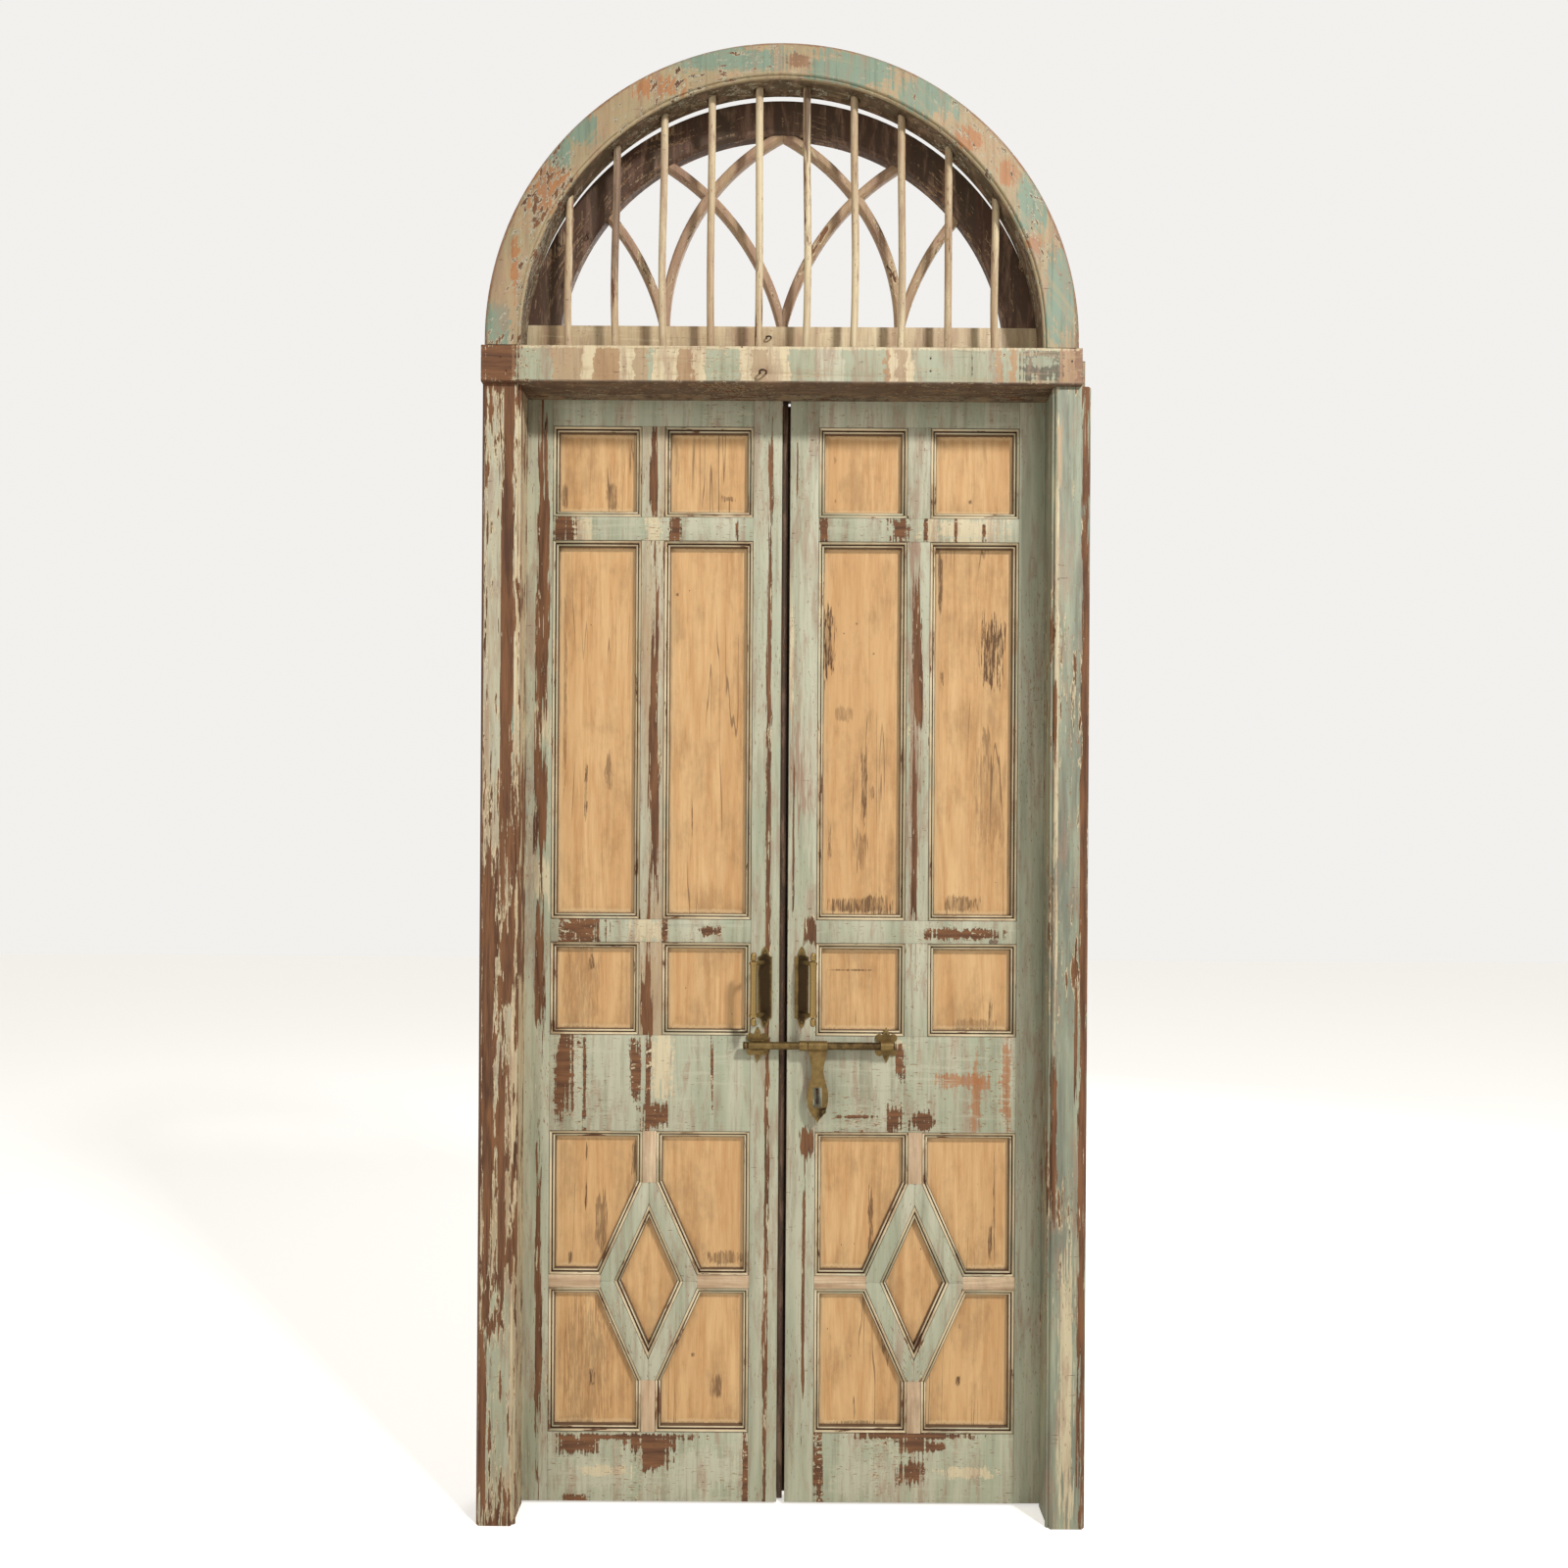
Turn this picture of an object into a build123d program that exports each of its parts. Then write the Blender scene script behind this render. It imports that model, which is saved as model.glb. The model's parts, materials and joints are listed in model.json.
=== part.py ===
from build123d import *
import os
from math import cos, radians, sin, sqrt

os.makedirs("parts", exist_ok=True)

# An old double-leaf panelled door in its frame, with an arched grille and a traceried sash above.
# Millimetres. X runs across the door, Z up, and -Y is the front.
# A depth is counted backwards from the front face of the arch unit.

# Frame
frame_width = 1250.0
frame_depth = 133.0
jamb_height = 2343.0
jamb_setback = 10.0
jamb_face_inner = 67.0
bead_splay_depth = 12.0
bead_splay_width = 13.0
reveal_recess = 4.0
stop_cover = 10.0
edge_chamfer = 7.0
head_height = 75.0
head_rebate = 10.0

# Arch unit
transom_inset = 22.0
transom_depth = 61.0
transom_arris = 2.0
arch_depth = 60.0
arch_radius = 608.0
arch_width = 74.0
arch_stilt = 15.0
arch_bead_width = 11.0
arch_bead_drop = 7.0
crown_joint_angle = 91.0
left_joint_angle = 111.0
right_joint_angle = 67.0

# Grille bars
bar_count = 10
bar_spacing = 98.2
bar_radius = 7.75
bar_depth = 38.0
bar_seat = 12.0
bar_tip_seat = 18.0
bar_clearance = 0.3
bar_notch_radius = 11.5
bar_notch_depth = 6.0

# Sash
sash_front = 85.0
sash_thickness = 25.0
sash_rim_radius = 545.0
sash_rim_width = 71.0
sash_rim_chamfer = 6.0
sash_rail_height = 80.0
sash_centre_height = 12.0
rib_width = 20.0
rib_thickness = 20.0
rib_setback = 3.0
rib_chamfer = 5.0
rib_bay = 249.0
side_rib_shift = 1.0
main_rib_rise = 412.0
cross_rib_radius = 547.0
cross_rib_drop = 118.0
rib_joint = 0.2

# Leaves
leaf_front = 93.0
leaf_thickness = 40.0
leaf_top = 2350.0
leaf_floor_gap = 6.0
leaf_side_gap = 3.0
meeting_gap = 17.0
stile_width = 61.0
mullion_width = 49.0
top_rail_height = 62.0
small_panel_height = 192.0
upper_rail_height = 50.0
tall_panel_height = 804.0
middle_rail_height = 49.0
square_panel_height = 197.0
lock_rail_height = 204.0
lower_opening_height = 639.0
muntin_width = 29.0
cross_rail_height = 27.0
diamond_half_width = 109.0
diamond_tip_gap = 77.5
diamond_member = 32.0
mitre_gap = 0.2

# Tenons of the rails and mullions
tenon_length = 32.0
tenon_thickness = 11.0
tenon_shoulder = 10.0
mortise_clearance = 0.1

# Panels and their mouldings
panel_recess = 15.0
panel_thickness = 12.0
panel_tongue = 8.0
groove_clearance = 0.3
outer_bead_width = 6.2
outer_bead_sink = 0.5
quirk_width = 1.0
quirk_sink = 7.0
inner_bead_width = 5.3
inner_bead_sink = 4.0

# Pull handles
handle_height = 1099.0
handle_from_centre = 39.0
handle_plate_width = 30.0
handle_plate_length = 174.0
handle_plate_thickness = 3.0
handle_tip_length = 22.0
grip_offset = 23.0
grip_standoff = 48.0
grip_length = 104.0
grip_radius = 7.5
grip_waist_radius = 6.8
collar_radius = 9.0
collar_height = 5.0
neck_radius = 4.0
neck_height = 3.0
finial_radius = 5.8
finial_height = 17.0
arm_radius = 4.5
arm_reach = 20.0
arm_bend_radius = 12.0

# Sliding bolt and keeper
bolt_drop = 121.0
bolt_standoff = 19.5
rod_radius = 8.0
rod_left_end = -84.0
rod_right_end = 236.0
rod_end_round = 2.5
rod_groove_at = -74.0
rod_groove_width = 3.5
rod_groove_depth = 1.2
rod_clearance = 0.05
keeper_clearance = 0.8
jaw_round = 1.0
eye_wall = 2.5
eye_stem_height = 14.0
keeper_at = -54.0
keeper_length = 27.0
middle_guide_at = 43.0
middle_guide_length = 17.5
end_guide_at = 219.0
end_guide_length = 27.0
flower_thickness = 3.0
flower_heart_radius = 16.0
flower_petal_ring = 21.0
flower_petal_radius = 8.5
flower_point = 38.0
flower_point_half_width = 11.0

# Hasp
hasp_at = 73.5
hasp_thickness = 4.0
hasp_top_half_width = 20.0
hasp_waist_half_width = 12.5
hasp_waist_drop = 52.0
hasp_belly_half_width = 22.2
hasp_belly_drop = 103.0
hasp_tail_half_width = 9.5
hasp_tail_drop = 149.0
hasp_length = 163.0
hasp_slot_drop = 108.5
hasp_slot_width = 19.0
hasp_slot_height = 43.0
hasp_slot_round = 4.0
hasp_knob_side = 13.0
hasp_knob_drop = 137.0
hasp_knob_radius = 5.0
hasp_knob_height = 7.0

# Staples
staple_bury = 12.0
staple_clearance = 0.1
hasp_staple_wire = 2.5
hasp_staple_drop = 108.0
hasp_staple_spacing = 24.0
hasp_staple_projection = 34.0
lintel_staple_wire = 2.0
lintel_staple_at = -49.0
lintel_staple_height = 2362.0
lintel_staple_spacing = 13.0
lintel_staple_projection = 18.0
sash_staple_wire = 1.6
sash_staple_spacing = 10.0
sash_staple_projection = 11.0
sash_staple_inset = 11.0
sash_staple_angles = (148.0, 161.0, 21.0)
rail_staple_at = -39.0
rail_staple_height = 2473.0

# Butt hinges on the back
hinge_heights = (260.0, 1170.0, 2080.0)
hinge_length = 100.0
hinge_plate_width = 34.0
hinge_plate_thickness = 2.5
hinge_axis_back = 6.0
knuckle_count = 5
knuckle_radius = 5.5
knuckle_gap = 0.5
pin_radius = 3.0
pin_clearance = 0.05
pin_head_radius = 4.6
pin_head_height = 3.0

# Places worked out from the sizes above. The origin is on the floor, in the middle of the whole.
transom_width = frame_width - transom_inset
arch_offset = -transom_inset / 2
rear_reach = frame_depth + hinge_axis_back + knuckle_radius
front_y = (lintel_staple_projection - rear_reach) / 2
transom_top = jamb_height + head_height
spring_height = transom_top + arch_stilt
soffit_radius = arch_radius - arch_width
face_inner = frame_width / 2 - jamb_face_inner
moulding_inner = face_inner - bead_splay_width
reveal = moulding_inner + reveal_recess
rebate = reveal + stop_cover
bar_y = front_y + bar_depth
bar_positions = [arch_offset + (i - (bar_count - 1) / 2) * bar_spacing for i in range(bar_count)]

sash_centre_z = transom_top + sash_centre_height
sash_rail_top = transom_top + sash_rail_height
sash_rail_rise = sash_rail_top - sash_centre_z
sash_rail_half = sqrt(sash_rim_radius**2 - sash_rail_rise**2)
sash_opening_radius = sash_rim_radius - sash_rim_width
main_rib_radius = (rib_bay**2 + main_rib_rise**2) / (2 * rib_bay)
cross_rib_reach = sqrt(cross_rib_radius**2 - cross_rib_drop**2)

leaf_outer = rebate - leaf_side_gap
leaf_inner = meeting_gap / 2
hanging_edge = leaf_outer - stile_width
meeting_edge = leaf_inner + stile_width
column_centre = (hanging_edge + meeting_edge) / 2
small_top = leaf_top - top_rail_height
small_bottom = small_top - small_panel_height
tall_top = small_bottom - upper_rail_height
tall_bottom = tall_top - tall_panel_height
square_top = tall_bottom - middle_rail_height
square_bottom = square_top - square_panel_height
lower_top = square_bottom - lock_rail_height
lower_bottom = lower_top - lower_opening_height
lower_centre = (lower_top + lower_bottom) / 2

moulding_width = outer_bead_width + quirk_width + inner_bead_width
bolt_height = handle_height - bolt_drop
bolt_y = front_y + leaf_front - bolt_standoff
hasp_staple_height = bolt_height - hasp_staple_drop
hinge_x = (rebate + leaf_outer) / 2
hinge_y = front_y + frame_depth + hinge_axis_back


def elevation(depth, x=0.0, z=0.0):
    """Upright plane facing the front, at a depth behind the arch unit's face."""
    return Plane(origin=(x, front_y + depth, z), x_dir=(1, 0, 0), z_dir=(0, -1, 0))


def cross_plane(x, y, z):
    """Upright plane facing +X, with its local x towards the back and its local y up."""
    return Plane(origin=(x, y, z), x_dir=(0, 1, 0), z_dir=(1, 0, 0))


def arch_plane(angle):
    """Plane through the arch's axis, with the radius as local x and the depth as local y."""
    turn = radians(angle)
    return Plane(
        origin=(arch_offset, 0, spring_height),
        x_dir=(cos(turn), 0, sin(turn)),
        z_dir=(-sin(turn), 0, cos(turn)),
    )


def splayed_beads(start, end):
    """Two round beads with a quirk between them, on the slope from start to end."""
    middle = ((start[0] + end[0]) / 2, (start[1] + end[1]) / 2)
    corner = (end[0], start[1])
    bulge = 0.32
    for low, high in ((start, middle), (middle, end)):
        crest_x = (low[0] + high[0]) / 2 + (corner[0] - middle[0]) * bulge
        crest_y = (low[1] + high[1]) / 2 + (corner[1] - middle[1]) * bulge
        ThreePointArc(low, (crest_x, crest_y), high)


# Lower frame

def jamb(side):
    """One post: chamfered outer edge, beaded inner edge, reveal, stop and rebate."""
    outer = side * frame_width / 2
    face = front_y + jamb_setback
    beads_back = face + bead_splay_depth
    stop = front_y + leaf_front
    back = front_y + frame_depth
    with BuildPart() as post:
        with BuildSketch(Plane.XY):
            with BuildLine():
                Polyline(
                    (side * face_inner, face),
                    (outer - side * edge_chamfer, face),
                    (outer, face + edge_chamfer),
                    (outer, back),
                    (side * rebate, back),
                    (side * rebate, stop),
                    (side * reveal, stop),
                    (side * reveal, beads_back + reveal_recess),
                    (side * moulding_inner, beads_back),
                )
                splayed_beads((side * face_inner, face), (side * moulding_inner, beads_back))
            make_face()
        extrude(amount=jamb_height)
    return post


left_jamb = jamb(-1)
left_jamb.part.label = "left_jamb"
export_step(left_jamb.part, "parts/left_jamb.step")

right_jamb = jamb(1)
right_jamb.part.label = "right_jamb"
export_step(right_jamb.part, "parts/right_jamb.step")

with BuildPart() as frame_head:
    with BuildSketch(elevation(transom_depth, z=jamb_height)):
        Rectangle(frame_width, head_height, align=(Align.CENTER, Align.MIN))
    extrude(amount=transom_depth - frame_depth)
    with BuildSketch(elevation(leaf_front, z=jamb_height)):
        Rectangle(2 * rebate, head_rebate, align=(Align.CENTER, Align.MIN))
    extrude(amount=leaf_front - frame_depth, mode=Mode.SUBTRACT)
frame_head.part.label = "frame_head"
export_step(frame_head.part, "parts/frame_head.step")


# Arch unit

def soffit_height(x):
    """Height of the ring's underside at a place across the door."""
    return spring_height + sqrt(soffit_radius**2 - (x - arch_offset) ** 2)


with BuildPart() as transom_rail:
    with BuildSketch(elevation(0, arch_offset, jamb_height)):
        Rectangle(transom_width, head_height, align=(Align.CENTER, Align.MIN))
    extrude(amount=-transom_depth)
    front_arrises = transom_rail.faces().sort_by(Axis.Y)[0].edges().filter_by(Axis.X)
    chamfer(front_arrises, length=transom_arris)
    with BuildSketch(Plane.XY.offset(transom_top)):
        with Locations([(x, bar_y) for x in bar_positions]):
            Circle(bar_radius + bar_clearance)
    extrude(amount=-bar_seat, mode=Mode.SUBTRACT)
    with BuildSketch(elevation(0, lintel_staple_at, lintel_staple_height)):
        with GridLocations(lintel_staple_spacing, 0, 2, 1):
            Circle(lintel_staple_wire + staple_clearance)
    extrude(amount=-staple_bury, mode=Mode.SUBTRACT)
transom_rail.part.label = "transom_rail"
export_step(transom_rail.part, "parts/transom_rail.step")

with BuildPart() as bar_holes:
    for x in bar_positions:
        with BuildSketch(Plane.XY.offset(spring_height)):
            with Locations((x, bar_y)):
                Circle(bar_notch_radius)
        extrude(amount=soffit_height(x) - spring_height + bar_notch_depth)
        with BuildSketch(Plane.XY.offset(spring_height)):
            with Locations((x, bar_y)):
                Circle(bar_radius + bar_clearance)
        extrude(amount=soffit_height(x) - spring_height + bar_tip_seat)


def arch_section(angle):
    """Section of the ring: chamfered outer edge and two beads round the inner edge."""
    beads_start = (soffit_radius + arch_bead_width, front_y)
    beads_end = (soffit_radius, front_y + arch_bead_drop)
    with BuildSketch(arch_plane(angle)) as section:
        with BuildLine():
            Polyline(
                beads_start,
                (arch_radius - edge_chamfer, front_y),
                (arch_radius, front_y + edge_chamfer),
                (arch_radius, front_y + arch_depth),
                (soffit_radius, front_y + arch_depth),
                beads_end,
            )
            splayed_beads(beads_start, beads_end)
        make_face()
    return section.sketch


def arch_segment(start_angle, end_angle, foot_angle=None):
    """One sawn segment of the ring. A haunch has a short straight foot on the transom."""
    with BuildPart() as segment:
        revolve(
            arch_section(start_angle),
            axis=Axis((arch_offset, 0, spring_height), (0, -1, 0)),
            revolution_arc=end_angle - start_angle,
        )
        if foot_angle is not None:
            extrude(arch_section(foot_angle), amount=-arch_stilt * cos(radians(foot_angle)))
        add(bar_holes.part, mode=Mode.SUBTRACT)
    return segment


arch_left_haunch = arch_segment(left_joint_angle, 180, foot_angle=180)
arch_left_haunch.part.label = "arch_left_haunch"
export_step(arch_left_haunch.part, "parts/arch_left_haunch.step")

arch_left_crown = arch_segment(crown_joint_angle, left_joint_angle)
arch_left_crown.part.label = "arch_left_crown"
export_step(arch_left_crown.part, "parts/arch_left_crown.step")

arch_right_crown = arch_segment(right_joint_angle, crown_joint_angle)
arch_right_crown.part.label = "arch_right_crown"
export_step(arch_right_crown.part, "parts/arch_right_crown.step")

arch_right_haunch = arch_segment(0, right_joint_angle, foot_angle=0)
arch_right_haunch.part.label = "arch_right_haunch"
export_step(arch_right_haunch.part, "parts/arch_right_haunch.step")

with BuildPart() as grille_bars:
    for x in bar_positions:
        with BuildSketch(Plane.XY.offset(transom_top - bar_seat)):
            with Locations((x, bar_y)):
                Circle(bar_radius)
        extrude(amount=soffit_height(x) + bar_tip_seat - transom_top + bar_seat)
grille_bars.part.label = "grille_bars"
export_step(grille_bars.part, "parts/grille_bars.step")


# Sash

with BuildPart() as sash_rim:
    with BuildSketch(elevation(sash_front, arch_offset, sash_centre_z)):
        Circle(sash_rim_radius)
        Circle(sash_opening_radius, mode=Mode.SUBTRACT)
        with Locations((0, sash_rail_rise)):
            Rectangle(
                2 * sash_rim_radius,
                2 * sash_rim_radius,
                align=(Align.CENTER, Align.MAX),
                mode=Mode.SUBTRACT,
            )
    extrude(amount=-sash_thickness)
    rim_front = sash_rim.faces().sort_by(Axis.Y)[0]
    inner_arris = rim_front.edges().filter_by(GeomType.CIRCLE).sort_by(SortBy.RADIUS)[0]
    chamfer(inner_arris, length=sash_rim_chamfer)
sash_rim.part.label = "sash_rim"
export_step(sash_rim.part, "parts/sash_rim.step")

with BuildPart() as sash_bottom_rail:
    with BuildSketch(elevation(sash_front, arch_offset, transom_top)):
        Rectangle(2 * sash_rail_half, sash_rail_height, align=(Align.CENTER, Align.MIN))
    extrude(amount=-sash_thickness)
sash_bottom_rail.part.label = "sash_bottom_rail"
export_step(sash_bottom_rail.part, "parts/sash_bottom_rail.step")


def rib_hoop(x, z, radius, clearance=0.0):
    """Whole hoop of moulded rib, round a centre given from the middle of the rail's top."""
    front = front_y + sash_front + rib_setback
    inner = radius - rib_width / 2
    outer = radius + rib_width / 2
    centre = (arch_offset + x, 0, sash_rail_top + z)
    with BuildPart() as hoop:
        with BuildSketch(Plane(origin=centre, x_dir=(1, 0, 0), z_dir=(0, 0, 1))):
            Polygon(
                (inner + rib_chamfer, front),
                (outer - rib_chamfer, front),
                (outer, front + rib_chamfer),
                (outer, front + rib_thickness),
                (inner, front + rib_thickness),
                (inner, front + rib_chamfer),
                align=None,
            )
            if clearance:
                offset(amount=clearance, kind=Kind.INTERSECTION)
        revolve(axis=Axis(centre, (0, 1, 0)))
    return hoop.part


def half_window(side):
    """The sash's opening on one side of its middle, less the joint at the rim."""
    with BuildPart() as opening:
        with BuildSketch(elevation(sash_front, arch_offset, sash_rail_top)):
            with Locations((0, -sash_rail_rise)):
                Circle(sash_opening_radius - rib_joint)
            with Locations((side * rib_joint / 2, 0)):
                Rectangle(
                    sash_rim_radius,
                    sash_rim_radius,
                    align=(Align.MIN if side > 0 else Align.MAX, Align.MIN),
                    mode=Mode.INTERSECT,
                )
        extrude(amount=-sash_thickness)
    return opening.part


def tracery(side):
    """Main rib of the pointed arch, the cross rib in two lengths beside it, and the side rib."""
    opening = half_window(side)
    main_centre = -side * (main_rib_radius - rib_bay)
    with BuildPart() as main_rib:
        add(rib_hoop(main_centre, 0, main_rib_radius))
        add(opening, mode=Mode.INTERSECT)
    with BuildPart() as ribs:
        for foot in (0, rib_bay + side_rib_shift):
            add(rib_hoop(side * (foot + cross_rib_reach), -cross_rib_drop, cross_rib_radius))
        add(opening, mode=Mode.INTERSECT)
        add(rib_hoop(main_centre, 0, main_rib_radius, rib_joint), mode=Mode.SUBTRACT)
        add(main_rib.part)
    return ribs


sash_tracery_left = tracery(-1)
sash_tracery_left.part.label = "sash_tracery_left"
export_step(sash_tracery_left.part, "parts/sash_tracery_left.step")

sash_tracery_right = tracery(1)
sash_tracery_right.part.label = "sash_tracery_right"
export_step(sash_tracery_right.part, "parts/sash_tracery_right.step")


# Staples

def staple(plane, spacing, projection, wire, bury=0.0):
    """Bent wire with two legs: local x runs from leg to leg, local y out of the wood."""
    reach = projection - wire - spacing / 2
    with BuildPart() as bent_wire:
        with BuildLine(plane) as bend:
            Line((-spacing / 2, -bury), (-spacing / 2, reach))
            ThreePointArc((-spacing / 2, reach), (0, projection - wire), (spacing / 2, reach))
            Line((spacing / 2, reach), (spacing / 2, -bury))
        with BuildSketch(Plane(origin=bend.line @ 0, z_dir=bend.line % 0)):
            Circle(wire)
        sweep(path=bend.line)
    return bent_wire.part


def upright_staple_plane(x, depth, z):
    """Plane of a staple with one leg above the other."""
    return Plane(origin=(x, front_y + depth, z), x_dir=(0, 0, 1), z_dir=(1, 0, 0))


def level_staple_plane(x, depth, z):
    """Plane of a staple with its legs side by side."""
    return Plane(origin=(x, front_y + depth, z), x_dir=(1, 0, 0), z_dir=(0, 0, -1))


with BuildPart() as sash_staples:
    staple_ring = sash_opening_radius + sash_staple_inset
    for angle in sash_staple_angles:
        staple_x = arch_offset + staple_ring * cos(radians(angle))
        staple_z = sash_centre_z + staple_ring * sin(radians(angle))
        place = upright_staple_plane(staple_x, sash_front, staple_z)
        add(staple(place, sash_staple_spacing, sash_staple_projection, sash_staple_wire))
    place = level_staple_plane(rail_staple_at, sash_front, rail_staple_height)
    add(staple(place, sash_staple_spacing, sash_staple_projection, sash_staple_wire))
sash_staples.part.label = "sash_staples"
export_step(sash_staples.part, "parts/sash_staples.step")

with BuildPart() as lintel_staple:
    add(
        staple(
            level_staple_plane(lintel_staple_at, 0, lintel_staple_height),
            lintel_staple_spacing,
            lintel_staple_projection,
            lintel_staple_wire,
            staple_bury,
        )
    )
lintel_staple.part.label = "lintel_staple"
export_step(lintel_staple.part, "parts/lintel_staple.step")


# Leaves. Outlines are laid out for the right leaf, with x counted from the door's middle.

def box_outline(low, high, bottom, top):
    """Rectangle between two places across and two heights."""
    return [(low, bottom), (high, bottom), (high, top), (low, top)]


columns = (
    (meeting_edge, column_centre - mullion_width / 2),
    (column_centre + mullion_width / 2, hanging_edge),
)
small_openings = [box_outline(low, high, small_bottom, small_top) for low, high in columns]
tall_openings = [box_outline(low, high, tall_bottom, tall_top) for low, high in columns]
square_openings = [box_outline(low, high, square_bottom, square_top) for low, high in columns]

half_column = (hanging_edge - meeting_edge) / 2
half_lower = lower_opening_height / 2
diamond_half_height = half_lower - diamond_tip_gap
half_muntin = muntin_width / 2
half_cross_rail = cross_rail_height / 2
shoulder_x = diamond_half_width * (1 - half_cross_rail / diamond_half_height)
shoulder_z = diamond_half_height * (1 - half_muntin / diamond_half_width)
diamond_slope = sqrt(diamond_half_width**2 + diamond_half_height**2)
diamond_shrink = 1 - diamond_member * diamond_slope / (diamond_half_width * diamond_half_height)
diamond_opening_x = diamond_half_width * diamond_shrink
diamond_opening_z = diamond_half_height * diamond_shrink


def quadrant(points, right, up):
    """Points given from the diamond's centre, turned into one of its four quarters."""
    placed = [(column_centre + right * x, lower_centre + up * z) for x, z in points]
    return placed if right * up > 0 else placed[::-1]


quarters = [(1, 1), (-1, 1), (-1, -1), (1, -1)]
corner_outline = [
    (shoulder_x, half_cross_rail),
    (half_column, half_cross_rail),
    (half_column, half_lower),
    (half_muntin, half_lower),
    (half_muntin, shoulder_z),
]
mitre_share = mitre_gap / 2
diamond_outline = [
    (diamond_opening_x * (1 - mitre_share / diamond_opening_z), mitre_share),
    (shoulder_x, mitre_share),
    (shoulder_x, half_cross_rail),
    (half_muntin, shoulder_z),
    (mitre_share, shoulder_z),
    (mitre_share, diamond_opening_z * (1 - mitre_share / diamond_opening_x)),
]
corner_openings = [quadrant(corner_outline, right, up) for right, up in quarters]
diamond_opening = [
    (column_centre + diamond_opening_x, lower_centre),
    (column_centre, lower_centre + diamond_opening_z),
    (column_centre - diamond_opening_x, lower_centre),
    (column_centre, lower_centre - diamond_opening_z),
]
all_openings = (
    small_openings + tall_openings + square_openings + corner_openings + [diamond_opening]
)

rail_levels = {
    "top_rail": (small_top, leaf_top),
    "upper_rail": (tall_top, small_bottom),
    "middle_rail": (square_top, tall_bottom),
    "lock_rail": (lower_top, square_bottom),
    "bottom_rail": (leaf_floor_gap, lower_bottom),
}
mullion_levels = ((small_bottom, small_top), (tall_bottom, tall_top), (square_bottom, square_top))
rail_tenons = [
    box_outline(
        meeting_edge - tenon_length,
        hanging_edge + tenon_length,
        bottom + tenon_shoulder,
        top - tenon_shoulder,
    )
    for bottom, top in rail_levels.values()
]
mullion_tenons = [
    box_outline(
        column_centre - mullion_width / 2 + tenon_shoulder,
        column_centre + mullion_width / 2 - tenon_shoulder,
        bottom - tenon_shoulder,
        top + tenon_shoulder,
    )
    for bottom, top in mullion_levels
]
tenon_depth = leaf_front + panel_recess + (panel_thickness - tenon_thickness) / 2


def slab(side, outlines, depth, thickness, growth=0.0):
    """Boards of one thickness on either leaf, from outlines that may grow on every side."""
    with BuildPart() as boards:
        with BuildSketch(elevation(depth)):
            for outline in outlines:
                Polygon(*[(side * x, z) for x, z in outline], align=None)
            if growth:
                offset(amount=growth, kind=Kind.INTERSECTION)
        extrude(amount=-thickness)
    return boards.part


def panel_seats(side):
    """Space that the panels' tongues take in the framing, with their clearance."""
    depth = leaf_front + panel_recess - groove_clearance
    thickness = panel_thickness + 2 * groove_clearance
    return slab(side, all_openings, depth, thickness, panel_tongue + groove_clearance)


def mortises(side, tenons):
    """Space that takes the tenons, with their clearance."""
    depth = tenon_depth - mortise_clearance
    thickness = tenon_thickness + 2 * mortise_clearance
    return slab(side, tenons, depth, thickness, mortise_clearance)


def stile(side, low, high, seats):
    """Full-height upright with a mortise for each rail."""
    with BuildPart() as upright:
        outline = box_outline(low, high, leaf_floor_gap, leaf_top)
        add(slab(side, [outline], leaf_front, leaf_thickness))
        add(mortises(side, rail_tenons), mode=Mode.SUBTRACT)
        add(seats, mode=Mode.SUBTRACT)
    return upright


def rail(side, index, seats, bores=()):
    """Level board between the stiles, with a tenon at each end and bores for staple legs."""
    bottom, top = list(rail_levels.values())[index]
    with BuildPart() as board:
        outline = box_outline(meeting_edge, hanging_edge, bottom, top)
        add(slab(side, [outline], leaf_front, leaf_thickness))
        add(slab(side, [rail_tenons[index]], tenon_depth, tenon_thickness))
        add(mortises(side, mullion_tenons), mode=Mode.SUBTRACT)
        add(seats, mode=Mode.SUBTRACT)
        for place in bores:
            with BuildSketch(elevation(leaf_front)):
                with Locations(place):
                    Circle(hasp_staple_wire + staple_clearance)
            extrude(amount=-staple_bury, mode=Mode.SUBTRACT)
    return board


def framing(side, outlines, seats, tenons=()):
    """Short members between the rails, some of them with tenons."""
    with BuildPart() as members:
        add(slab(side, outlines, leaf_front, leaf_thickness))
        if tenons:
            add(slab(side, tenons, tenon_depth, tenon_thickness))
        add(seats, mode=Mode.SUBTRACT)
    return members


def panels(side, outlines):
    """Flat boards whose edges run into the grooves of the framing."""
    with BuildPart() as boards:
        add(slab(side, outlines, leaf_front + panel_recess, panel_thickness, panel_tongue))
    return boards


def bead_section(plane):
    """Moulding section: local x from the framing inwards, local y from the panel to the front."""
    outer_radius = outer_bead_width / 2
    inner_radius = inner_bead_width / 2
    outer_crest = panel_recess - outer_bead_sink
    inner_crest = panel_recess - inner_bead_sink
    quirk = panel_recess - quirk_sink
    inner_start = moulding_width - inner_bead_width
    inner_end = moulding_width
    with BuildSketch(plane) as section:
        with BuildLine():
            Polyline(
                (0, outer_crest - outer_radius),
                (0, 0),
                (inner_end, 0),
                (inner_end, inner_crest - inner_radius),
            )
            ThreePointArc(
                (inner_end, inner_crest - inner_radius),
                (inner_start + inner_radius, inner_crest),
                (inner_start, inner_crest - inner_radius),
            )
            Polyline(
                (inner_start, inner_crest - inner_radius),
                (inner_start, quirk),
                (outer_bead_width, quirk),
                (outer_bead_width, outer_crest - outer_radius),
            )
            ThreePointArc(
                (outer_bead_width, outer_crest - outer_radius),
                (outer_radius, outer_crest),
                (0, outer_crest - outer_radius),
            )
        make_face()
    return section.sketch


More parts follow.
